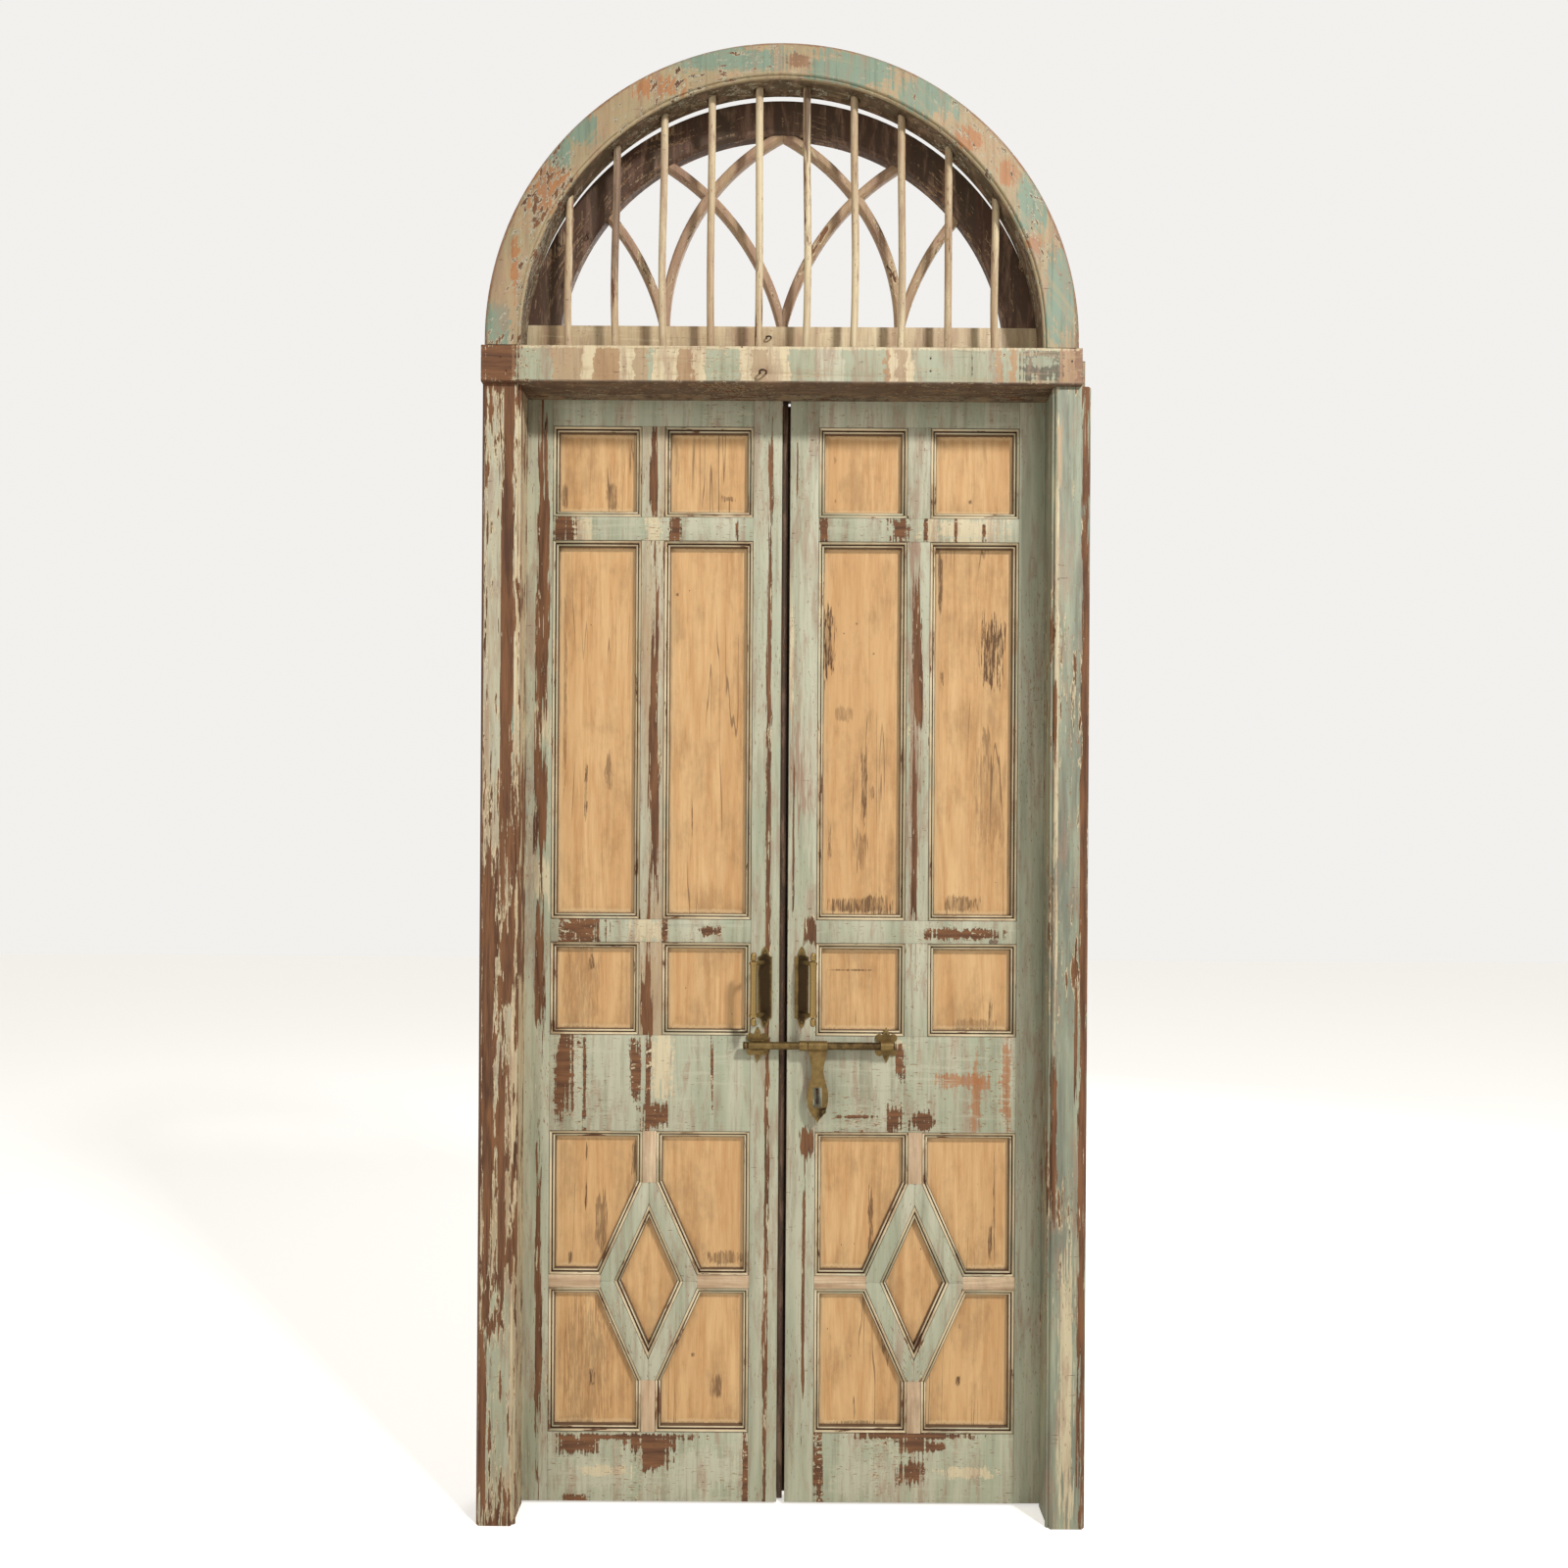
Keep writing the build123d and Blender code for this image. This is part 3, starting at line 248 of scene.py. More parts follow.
# Water stains, worm tracks and short cracks on the panels: depth, x, z, half width, half height.
STAINS = {
    "left_small_panels": (
        (0.6, -0.473, 2.140, 0.006, 0.020), (0.6, -0.372, 2.142, 0.008, 0.020),
        (0.6, -0.124, 2.140, 0.014, 0.006), (0.3, -0.234, 2.215, 0.006, 0.045)),
    "left_tall_panels": (
        (0.9, -0.424, 1.5135, 0.003, 0.0475), (0.6, -0.375, 1.556, 0.006, 0.030),
        (0.5, -0.469, 1.66, 0.003, 0.17), (0.8, -0.232, 1.935, 0.003, 0.003),
        (0.7, -0.197, 1.46, 0.0015, 0.03)),
    "left_square_panels": (
        (0.3, -0.433, 1.092, 0.030, 0.075), (0.8, -0.4085, 1.148, 0.006, 0.012)),
    "left_corner_panels": (
        (0.9, -0.418, 0.7425, 0.003, 0.020), (0.9, -0.418, 0.649, 0.0025, 0.028),
        (0.7, -0.314, 0.731, 0.006, 0.031), (0.6, -0.387, 0.5985, 0.010, 0.045),
        (0.8, -0.4515, 0.517, 0.004, 0.010), (0.35, -0.4175, 0.283, 0.038, 0.107),
        (0.9, -0.404, 0.265, 0.006, 0.015), (0.6, -0.1155, 0.5195, 0.040, 0.011),
        (0.7, -0.1395, 0.2425, 0.010, 0.023), (0.8, -0.189, 0.311, 0.003, 0.003)),
    "right_small_panels": (
        (0.8, 0.105, 2.224, 0.003, 0.006), (0.8, 0.105, 2.136, 0.003, 0.006),
        (0.8, 0.392, 2.136, 0.008, 0.008)),
    "right_tall_panels": (
        (0.95, 0.0925, 1.8375, 0.0155, 0.0695), (0.8, 0.125, 1.854, 0.003, 0.003),
        (0.8, 0.153, 1.875, 0.003, 0.003), (0.8, 0.189, 1.811, 0.003, 0.003),
        (0.4, 0.127, 1.682, 0.016, 0.012), (0.8, 0.170, 1.5055, 0.005, 0.070),
        (0.8, 0.188, 1.513, 0.006, 0.0125), (0.6, 0.097, 1.4045, 0.003, 0.030),
        (0.5, 0.165, 1.3925, 0.015, 0.0425), (0.8, 0.160, 1.2735, 0.058, 0.0155),
        (0.8, 0.330, 1.967, 0.003, 0.046), (0.9, 0.440, 1.825, 0.024, 0.067),
        (0.9, 0.335, 1.7575, 0.003, 0.0135), (0.5, 0.430, 1.6055, 0.006, 0.0375),
        (0.3, 0.4425, 1.50, 0.0275, 0.076), (0.7, 0.392, 1.2785, 0.033, 0.0145)),
    "right_square_panels": (
        (0.7, 0.121, 1.135, 0.018, 0.0015), (0.7, 0.165, 1.135, 0.018, 0.0015),
        (0.8, 0.155, 1.0365, 0.001, 0.0155), (0.7, 0.443, 1.034, 0.003, 0.022),
        (0.4, 0.41, 1.02, 0.035, 0.008)),
    "right_corner_panels": (
        (0.8, 0.189, 0.592, 0.004, 0.056), (0.9, 0.158, 0.1995, 0.002, 0.0195),
        (0.5, 0.16, 0.168, 0.03, 0.004), (0.6, 0.453, 0.646, 0.002, 0.121),
        (0.8, 0.446, 0.56, 0.004, 0.038), (0.9, 0.378, 0.259, 0.005, 0.008),
        (0.8, 0.381, 0.375, 0.0015, 0.005)),
}

# Upright bands of old colour along the transom: where each starts, and its colour
BANDS = (
    (-0.625, "brown"), (-0.556, "sage"), (-0.483, "tan"), (-0.421, "cream"), (-0.396, "clay"),
    (-0.344, "cream"), (-0.317, "tan"), (-0.285, "sage"), (-0.275, "cream"), (-0.225, "clay"),
    (-0.194, "cream"), (-0.171, "sage"), (-0.098, "cream"), (-0.074, "tan"), (-0.041, "cream"),
    (0.001, "sage"), (0.060, "pale"), (0.110, "sage"), (0.196, "clay"), (0.208, "cream"), (0.224, "tan"),
    (0.239, "cream"), (0.253, "sage"), (0.421, "clay"), (0.437, "sage"), (0.451, "clay"), (0.467, "sage"),
    (0.551, "clay"), (0.585, "brown"))


# Sizes and colours that a user would change

def colour(name, description, default):
    return bpy.props.FloatVectorProperty(
        name=name, description=description, default=default, min=0.0, max=1.0, subtype="COLOR_GAMMA")


def length(name, description, default):
    return bpy.props.FloatProperty(
        name=name, description=description, default=default, min=0.0, unit="LENGTH", subtype="DISTANCE")


def share(name, description, default):
    return bpy.props.FloatProperty(
        name=name, description=description, default=default, min=0.0, max=1.0, subtype="FACTOR")


def power(name, description, default):
    return bpy.props.FloatProperty(
        name=name, description=description, default=default, min=0.0, unit="POWER")


class DoorPaint(bpy.types.PropertyGroup):
    sage: colour("Sage", "Main green-grey coat on the leaves", (0.655, 0.67, 0.565))
    pale: colour("Pale sage", "Chalky coat where the green has bleached", (0.76, 0.75, 0.65))
    teal: colour("Teal", "Older blue-green coat left in patches", (0.45, 0.57, 0.50))
    cream: colour("Cream", "Oldest coat, next to the wood", (0.86, 0.79, 0.64))
    tan: colour("Tan", "Thin tan coat of the arch, the bars and the sash", (0.70, 0.59, 0.45))
    brown: colour("Bare brown", "Red-brown wood where the coats are gone", (0.52, 0.35, 0.22))
    moss: colour("Moss", "Darker grey-green coat of the right jamb", (0.47, 0.485, 0.42))
    # Umber also stands for painted shade: under the transom, in the mouldings' quirks and feet, and on the
    # cover strip
    umber: colour("Umber", "Darkest grain and deep stains", (0.30, 0.19, 0.12))
    rust: colour("Rust", "Orange stain that runs from the ironwork", (0.68, 0.44, 0.25))
    mauve: colour("Mauve", "Pinkish brown that shows through thin coats", (0.62, 0.49, 0.40))
    clay: colour("Clay", "Orange-brown undercoat of the transom", (0.68, 0.53, 0.37))
    # Olive also stands for painted shade: inside the arch, on the sash rim and on the cover strip
    olive: colour("Olive", "Dark olive-brown inside the arch and on the sash rim", (0.25, 0.19, 0.11))
    ochre: colour("Ochre", "Thin ochre coat on the arch's bead", (0.66, 0.59, 0.45))


class DoorWood(bpy.types.PropertyGroup):
    panel: colour("Panel", "Warm peach-tan boards of the panels", (0.88, 0.72, 0.51))
    panel_deep: colour("Panel shade", "Darker tan that runs through the boards", (0.77, 0.58, 0.37))
    panel_edge: colour("Panel rim", "Light rim that the mouldings kept clean", (0.91, 0.77, 0.57))
    # The stain colour is also painted shade along the foot of the mouldings on the panels
    stain: colour("Stain", "Brown water stain on the boards", (0.30, 0.19, 0.105))
    muntin: colour("Muntin", "Pinkish tan of the thinly painted muntins", (0.90, 0.80, 0.66))
    muntin_deep: colour("Muntin shade", "Darker grain of the muntins", (0.70, 0.57, 0.44))


class DoorMetal(bpy.types.PropertyGroup):
    # Brass is also the colour of the painted highlight in front of the leaves
    brass: colour("Brass", "Rubbed brass on the proud parts", (0.58, 0.48, 0.29))
    patina: colour("Patina", "Olive-brown skin of the old brass", (0.22, 0.155, 0.06))
    iron: colour("Iron", "Dark forged iron", (0.20, 0.17, 0.15))
    iron_rust: colour("Iron rust", "Rust bloom on the iron", (0.40, 0.22, 0.12))


class DoorWear(bpy.types.PropertyGroup):
    arris: length("Arris", "Rounding of the boards' edges", 0.0012)
    fine_arris: length("Fine arris", "Rounding of the mouldings and small parts", 0.0005)
    wander: length("Wander", "How far a worn edge strays from its line", 0.0006)
    bar_bow: length("Bar bow", "Sideways bow of a bent grille bar", 0.0035)
    screw: length("Screw head", "Diameter of the screw heads", 0.0075)
    strip: length("Cover strip", "Thickness of the strip behind the joint of the leaves", 0.005)
    strip_lap: length("Strip lap", "How far the cover strip laps each leaf", 0.016)
    tongue_depth: length("Tongue depth", "How far the strip's tongue lies behind the leaves' fronts", 0.012)
    tongue_gap: length("Tongue gap", "Between the strip's tongue and the right leaf", 0.005)


class DoorStage(bpy.types.PropertyGroup):
    floor: colour("Floor", "Colour of the floor", (0.90, 0.89, 0.87))
    eye_height: length("Eye height", "Height of the camera above the floor", 1.36)
    distance: length("Distance", "From the camera to the front of the arch", 2.30)
    scale: length("Photo scale", "Length that one photo pixel covers at the arch's front", 0.0020)
    key: power("Key lamp", "Power of the main lamp", 500.0)
    fill: power("Fill lamp", "Power of the lamp on the left", 42.0)
    back: power("Back lamp", "Power of the lamp behind", 75.0)
    sky: share("Sky", "Brightness of the light from all round", 0.29)


# Material graphs

def linear(value):
    """A colour as it is seen, turned into the light that the shaders work with, and opaque."""
    return (*(c / 12.92 if c <= 0.04045 else ((c + 0.055) / 1.055) ** 2.4 for c in value), 1.0)


def paint():
    return bpy.context.scene.door_paint


def wood():
    return bpy.context.scene.door_wood


def metal():
    return bpy.context.scene.door_metal


def wear():
    return bpy.context.scene.door_wear


class Graph:
    """The nodes of one material, and short ways to add them."""

    def __init__(self, name):
        self.material = bpy.data.materials.new(name)
        self.material.use_nodes = True
        self.tree = self.material.node_tree
        self.tree.nodes.clear()
        self.board = self.read("board", "Vector")
        self.reach = self.read("reach", "Vector")
        self.seed = self.read("board_seed", "Fac")
        self.object = self.tree.nodes.new("ShaderNodeTexCoord").outputs["Object"]
        self.x, self.y, self.z = self.split(self.object)
        offset = self.vector("SCALE", (7.31, 3.17, 5.03), self.seed)
        self.own = self.vector("ADD", self.board, offset)

    def feed(self, socket, value):
        if isinstance(value, bpy.types.NodeSocket):
            self.tree.links.new(value, socket)
        elif isinstance(value, Color):
            socket.default_value = linear(value)
        else:
            socket.default_value = value

    def read(self, name, output):
        node = self.tree.nodes.new("ShaderNodeAttribute")
        node.attribute_name = name
        return node.outputs[output]

    def split(self, value):
        node = self.tree.nodes.new("ShaderNodeSeparateXYZ")
        self.feed(node.inputs[0], value)
        return node.outputs[0], node.outputs[1], node.outputs[2]

    def math(self, operation, a, b=0.0):
        node = self.tree.nodes.new("ShaderNodeMath")
        node.operation = operation
        for socket, value in zip(node.inputs, (a, b)):
            self.feed(socket, value)
        return node.outputs[0]

    def vector(self, operation, a, b=(0.0, 0.0, 0.0)):
        node = self.tree.nodes.new("ShaderNodeVectorMath")
        node.operation = operation
        self.feed(node.inputs[0], a)
        self.feed(node.inputs["Scale"] if operation == "SCALE" else node.inputs[1], b)
        return node.outputs["Value" if operation == "LENGTH" else "Vector"]

    def add_up(self, *values):
        total = values[0]
        for value in values[1:]:
            total = self.math("ADD", total, value)
        return total

    def minus(self, a, b):
        return self.math("SUBTRACT", a, b)

    def times(self, a, b):
        return self.math("MULTIPLY", a, b)

    def noise(self, place, stretch, scale, detail=4.0, roughness=0.6, distortion=0.0):
        """Noise drawn out along the axes that stretch makes small."""
        node = self.tree.nodes.new("ShaderNodeTexNoise")
        self.feed(node.inputs["Vector"], self.vector("MULTIPLY", place, stretch))
        for socket, value in (
                ("Scale", scale), ("Detail", detail), ("Roughness", roughness), ("Distortion", distortion)):
            node.inputs[socket].default_value = value
        return node.outputs["Fac"]

    def along(self, stretch, scale, *rest):
        """Noise of the board itself, drawn out along its grain."""
        return self.noise(self.own, (stretch, 1.0, 1.0), scale, *rest)

    def down(self, stretch, scale, *rest):
        """Noise that runs on from board to board, drawn out from top to bottom."""
        return self.noise(self.object, (1.0, 1.0, stretch), scale, *rest)

    def dots(self, place, stretch, scale, radius):
        """Small round marks, one at some of the cells of a loose net."""
        node = self.tree.nodes.new("ShaderNodeTexVoronoi")
        self.feed(node.inputs["Vector"], self.vector("MULTIPLY", place, stretch))
        node.inputs["Scale"].default_value = scale
        near = self.step(node.outputs["Distance"], radius, radius * 0.6)
        red, _, _ = self.split(node.outputs["Color"])
        return self.times(near, self.step(red, 0.72, 0.76))

    def step(self, value, start, end, low=0.0, high=1.0):
        """low before start and high after end, with a smooth turn between them."""
        node = self.tree.nodes.new("ShaderNodeMapRange")
        node.interpolation_type = "SMOOTHSTEP"
        self.feed(node.inputs["Value"], value)
        for socket, number in (("From Min", start), ("From Max", end), ("To Min", low), ("To Max", high)):
            self.feed(node.inputs[socket], number)
        return node.outputs["Result"]

    def mix(self, share_of_b, a, b, blend="MIX"):
        """a where the share is 0 and b where it is 1. Colours are given as they are seen."""
        node = self.tree.nodes.new("ShaderNodeMix")
        node.data_type = "RGBA"
        node.blend_type = blend
        self.feed(node.inputs[0], share_of_b)
        self.feed(node.inputs[6], a)
        self.feed(node.inputs[7], b)
        return node.outputs[2]

    def mark(self, ragged, x, z, half_x, half_z):
        """A mask that is 1 inside a rounded box on the front, with a ragged edge."""
        arm = self.vector("SUBTRACT", self.object, (x, 0.0, z))
        arm = self.vector("MULTIPLY", arm, (1 / half_x, 0.0, 1 / half_z))
        reach = self.math("SQRT", self.vector("LENGTH", self.vector("MULTIPLY", arm, arm)))
        return self.step(self.add_up(reach, ragged), 1.15, 0.90)

    def bands(self, place, start, end, stops):
        """Colours side by side, each from its own start along the place to the next one's."""
        node = self.tree.nodes.new("ShaderNodeValToRGB")
        node.color_ramp.interpolation = "CONSTANT"
        for number, (at, kind) in enumerate(stops):
            spot = (at - start) / (end - start)
            elements = node.color_ramp.elements
            stop = elements[number] if number < 2 else elements.new(spot)
            stop.position = spot
            stop.color = linear(getattr(paint(), kind))
        self.feed(node.inputs["Fac"], self.math("DIVIDE", self.minus(place, start), end - start))
        return node.outputs["Color"]

    def to_edges(self):
        """How far a place is from the ends and from the long edges of its board."""
        left = self.vector("SUBTRACT", self.reach, self.vector("ABSOLUTE", self.board))
        from_end, from_edge, _ = self.split(left)
        return from_end, from_edge

    def finish(self, base, roughness, height, depth, metallic=0.0):
        """Wires colour, roughness and relief to the surface. depth is the relief's full height."""
        shader = self.tree.nodes.new("ShaderNodeBsdfPrincipled")
        output = self.tree.nodes.new("ShaderNodeOutputMaterial")
        bump = self.tree.nodes.new("ShaderNodeBump")
        bump.inputs["Strength"].default_value = 1.0
        bump.inputs["Distance"].default_value = depth
        self.feed(bump.inputs["Height"], height)
        self.feed(shader.inputs["Base Color"], base)
        self.feed(shader.inputs["Roughness"], roughness)
        shader.inputs["Metallic"].default_value = metallic
        self.tree.links.new(bump.outputs["Normal"], shader.inputs["Normal"])
        self.tree.links.new(shader.outputs["BSDF"], output.inputs["Surface"])
        return self.material


def wood_grain(g, light, dark, fineness=1.0):
    """Colour, relief and crack mask of a bare board whose grain runs along it."""
    fibre = g.along(0.05, 420.0 * fineness, 6.0, 0.72)
    band = g.along(0.10, 60.0 * fineness, 3.0, 0.5, 0.4)
    ring = g.math("PINGPONG", g.times(g.along(0.07, 16.0, 2.0, 0.5), 17.0), 1.0)
    shade = g.add_up(g.times(fibre, 0.55), g.times(band, 0.45), g.times(ring, 0.12))
    base = g.mix(g.step(shade, 0.36, 0.74), dark, light)
    line = g.math("ABSOLUTE", g.minus(g.along(0.035, 34.0, 2.0, 0.4, 0.25), 0.5))
    rare = g.step(g.along(0.4, 7.0, 1.0), 0.60, 0.68)
    crack = g.times(g.step(line, 0.008, 0.003), rare)
    relief = g.minus(shade, g.times(crack, 1.2))
    return base, relief, crack


def painted_board(name, coat, second, under, worn, marks=(), drawn=0.12, edge=1.0, front=None, tint=None):
    """Coats of old paint that flake off a board: the top coat, the coat under it and then the wood.

    worn rises from 0.2, almost whole, to 0.6, almost gone. The smaller drawn is, the longer the flakes run
    along the grain. marks count as far back as front. tint gives the top coat its own colours by place.
    """
    p = paint()
    g = Graph(name)
    base, relief, crack = wood_grain(g, p.brown, p.umber)
    flake = g.along(drawn, 105.0, 7.0, 0.62, 0.15)
    cloud = g.down(0.4, 8.0, 3.0, 0.5)
    rain = g.down(0.03, 190.0, 4.0, 0.6)
    ragged = g.times(g.minus(g.add_up(flake, g.times(rain, 1.4)), 1.2), 2.2)
    from_end, from_edge = g.to_edges()
    loss = g.add_up(
        g.times(flake, 0.8), g.times(cloud, 0.5), g.times(rain, 0.3),
        g.step(from_edge, 0.006, 0.0, 0.0, 0.07 * edge), g.step(from_end, 0.025, 0.0, 0.0, 0.05 * edge),
        worn - 0.8)
    tone = g.step(g.down(0.10, 22.0, 5.0, 0.6), 0.34, 0.68)
    skin = g.mix(tone, coat, second)
    if tint is not None:
        skin = g.mix(0.85, skin, tint(g, ragged))
    shallow = ragged
    if front is not None:
        shallow = g.add_up(ragged, g.step(g.y, front, front + 0.001, 0.0, BEHIND))
    for kind, *where in marks:
        mask = g.mark(shallow, *where)
        if kind == "bare":
            loss = g.add_up(loss, g.times(mask, 0.34))
        else:
            skin = g.mix(g.times(mask, 0.8), skin, getattr(p, kind))
    gone = g.step(loss, 0.50, 0.525)
    thin = g.step(loss, 0.470, 0.485)
    # Real grime: dark streaks that run down the board
    grime_and_shade = g.step(g.down(0.05, 120.0, 5.0, 0.65), 0.44, 0.74)
    skin = g.mix(g.times(grime_and_shade, 0.32), skin, p.brown, "MULTIPLY")
    blush = g.down(0.16, 42.0, 6.0, 0.72, 0.4)
    skin = g.mix(g.step(blush, 0.48, 0.64, 0.0, 0.55), skin, p.mauve)
    chalk = g.along(0.08, 66.0, 5.0, 0.7)
    skin = g.mix(g.step(chalk, 0.54, 0.64, 0.0, 0.45), skin, second)
    dash = g.noise(g.object, (0.12, 1.0, 1.0), 230.0, 3.0, 0.6)
    skin = g.mix(g.step(g.add_up(dash, g.times(blush, 0.4)), 0.90, 0.94, 0.0, 0.7), skin, p.umber)
    fleck = g.along(0.25, 300.0, 3.0, 0.6)
    skin = g.mix(g.step(g.add_up(fleck, g.times(cloud, 0.25)), 0.76, 0.80, 0.0, 0.75), skin, p.brown)
    surface = g.mix(gone, g.mix(g.times(thin, 0.8), skin, under), base)
    surface = g.mix(g.times(crack, g.times(gone, 0.8)), surface, p.umber)
    seam = g.step(g.math("MINIMUM", from_end, from_edge), 0.0016, 0.0004)
    surface = g.mix(g.times(seam, 0.45 * edge), surface, p.umber)
    coats = g.minus(2.0, g.add_up(gone, thin))
    height = g.add_up(g.times(relief, 0.5), g.times(coats, 0.35))
    rough = g.add_up(g.step(gone, 0.0, 1.0, 0.62, 0.84), g.times(grime_and_shade, 0.10))
    return g.finish(surface, rough, height, 0.0007)


def bare_board(name, light, deep, rim=None, stains=(), holes=False):
    """An unpainted board with water stains, worm holes, a light rim along the mouldings and painted shade
    at their foot.
    """
    p = wood()
    g = Graph(name)
    base, relief, crack = wood_grain(g, light, deep, 0.8)
    long_tone = g.step(g.along(0.05, 15.0, 3.0, 0.5), 0.36, 0.68)
    base = g.mix(g.times(long_tone, 0.40), base, deep)
    flake = g.along(0.16, 120.0, 6.0, 0.68, 0.3)
    cloud = g.along(0.30, 10.0, 4.0, 0.6)
    fibre = g.along(0.04, 330.0, 4.0, 0.6)
    ragged = g.times(g.minus(g.add_up(flake, fibre, cloud), 1.5), 2.3)
    stain = g.step(g.add_up(flake, g.times(cloud, 0.7)), 1.08, 1.22, 0.0, 0.32)
    mottle = g.down(0.45, 16.0, 6.0, 0.72)
    base = g.mix(g.step(mottle, 0.44, 0.70, 0.0, 0.27), base, p.stain)
    front = g.add_up(ragged, g.step(g.y, PANEL_FRONT + 0.005, PANEL_FRONT + 0.006, 0.0, BEHIND))
    speck = g.along(0.10, 280.0, 4.0, 0.65)
    for depth, *where in stains:
        inside = g.times(g.mark(front, *where), g.step(speck, 0.42, 0.54, depth * 0.4, depth))
        stain = g.math("MAXIMUM", stain, inside)
    if rim is not None:
        from_end, from_edge = g.to_edges()
        to_rim = g.add_up(g.math("MINIMUM", from_end, from_edge), g.times(ragged, 0.004))
        base = g.mix(g.step(to_rim, 0.031, 0.025, 0.0, 0.6), base, rim)
        # Painted shade: a dark line on the panel along the foot of the mouldings
        grime_and_shade = g.step(to_rim, 0.0230, 0.0205, 0.0, 0.35)
        base = g.mix(grime_and_shade, base, p.stain)
    surface = g.mix(stain, base, p.stain)
    surface = g.mix(g.times(crack, 0.6), surface, p.stain)
    height = relief
    if holes:
        worm = g.dots(g.own, (0.55, 1.0, 1.0), 30.0, 0.032)
        surface = g.mix(worm, surface, paint().umber)
        height = g.minus(height, g.times(worm, 1.5))
    rough = g.add_up(0.70, g.times(stain, 0.15))
    return g.finish(surface, rough, height, 0.0005)


def bead_paint(name):
    """The cream coat of the mouldings, with painted shade in the quirk between the beads and at their feet.
    """
    p = paint()
    g = Graph(name)
    flake = g.along(0.12, 150.0, 6.0, 0.62, 0.2)
    cloud = g.down(1.0, 14.0, 4.0, 0.6)
    tone = g.step(cloud, 0.42, 0.74)
    skin = g.mix(tone, p.cream, p.tan)
    skin = g.mix(g.step(g.down(1.0, 5.0, 2.0), 0.50, 0.62, 0.0, 0.5), skin, p.sage)
    base, relief, _ = wood_grain(g, p.brown, p.umber)
    gone = g.step(g.add_up(flake, g.times(cloud, 0.5)), 0.87, 0.91)
    surface = g.mix(gone, skin, base)
    _, across, _ = g.split(g.board)
    # Painted shade: the quirk between the beads and both feet of each stick are darkened to umber
    quirk = g.step(g.math("ABSOLUTE", g.minus(across, QUIRK)), 0.0015, 0.0009)
    foot = g.math("MAXIMUM", g.step(across, FOOT - 0.001, FOOT), g.step(across, 0.0015, 0.0007))
    surface = g.mix(g.math("MAXIMUM", quirk, g.times(foot, 0.9)), surface, p.umber)
    height = g.add_up(g.times(relief, 0.4), g.times(gone, -0.3))
    return g.finish(surface, g.step(gone, 0.0, 1.0, 0.60, 0.82), height, 0.0004)


def aged_metal(name, bright, skin, rust=None):
    """Old dull metal, rubbed brighter on edges and screws, with a painted highlight in front of the leaves.
    """
    g = Graph(name)
    cloud = g.down(1.0, 55.0, 5.0, 0.6)
    pit = g.down(1.0, 620.0, 4.0, 0.7)
    proud = g.read("proud", "Fac")
    shine = g.step(g.add_up(proud, g.times(cloud, 0.5)), 0.60, 1.10)
    surface = g.mix(shine, skin, bright)
    surface = g.mix(g.times(g.step(pit, 0.45, 0.7), 0.35), surface, skin, "MULTIPLY")
    if rust is not None:
        surface = g.mix(g.step(cloud, 0.48, 0.62), surface, rust)
    rough = g.minus(g.add_up(0.46, g.times(pit, 0.25)), g.times(shine, 0.14))
    height = g.add_up(g.times(cloud, 0.6), g.times(pit, 0.4))
    return g.finish(surface, rough, height, 0.0003, metallic=0.75 if rust is None else 0.5)


# Geometry

def islands(bm):
    """The faces of each separate solid in a mesh."""
    seen = set()
    for start in bm.faces:
        if start in seen:
            continue
        seen.add(start)
        group, open_faces = [], [start]
        while open_faces:
            face = open_faces.pop()
            group.append(face)
            for edge in face.edges:
                for other in edge.link_faces:
                    if other not in seen:
                        seen.add(other)
                        open_faces.append(other)
        yield group


def points_of(group):
    """The points of some faces, each once and always in the same order."""
    return list(dict.fromkeys(v for f in group for v in f.verts))


def long_axis(points):
    """The direction in the door's plane in which a board is longest, taken as X or Z if it is near one."""
    centre = sum(points, Vector()) / len(points)
    xx = sum((p.x - centre.x) ** 2 for p in points)
    zz = sum((p.z - centre.z) ** 2 for p in points)
    xz = sum((p.x - centre.x) * (p.z - centre.z) for p in points)
    turn = 0.5 * math.atan2(2 * xz, xx - zz)
    near = round(turn / (math.pi / 2)) * (math.pi / 2)
    if abs(turn - near) < math.radians(8):
        turn = near
    return Vector((math.cos(turn), 0.0, math.sin(turn)))


def span(values):
    """The least and the greatest of the values."""
    values = list(values)
    return min(values), max(values)


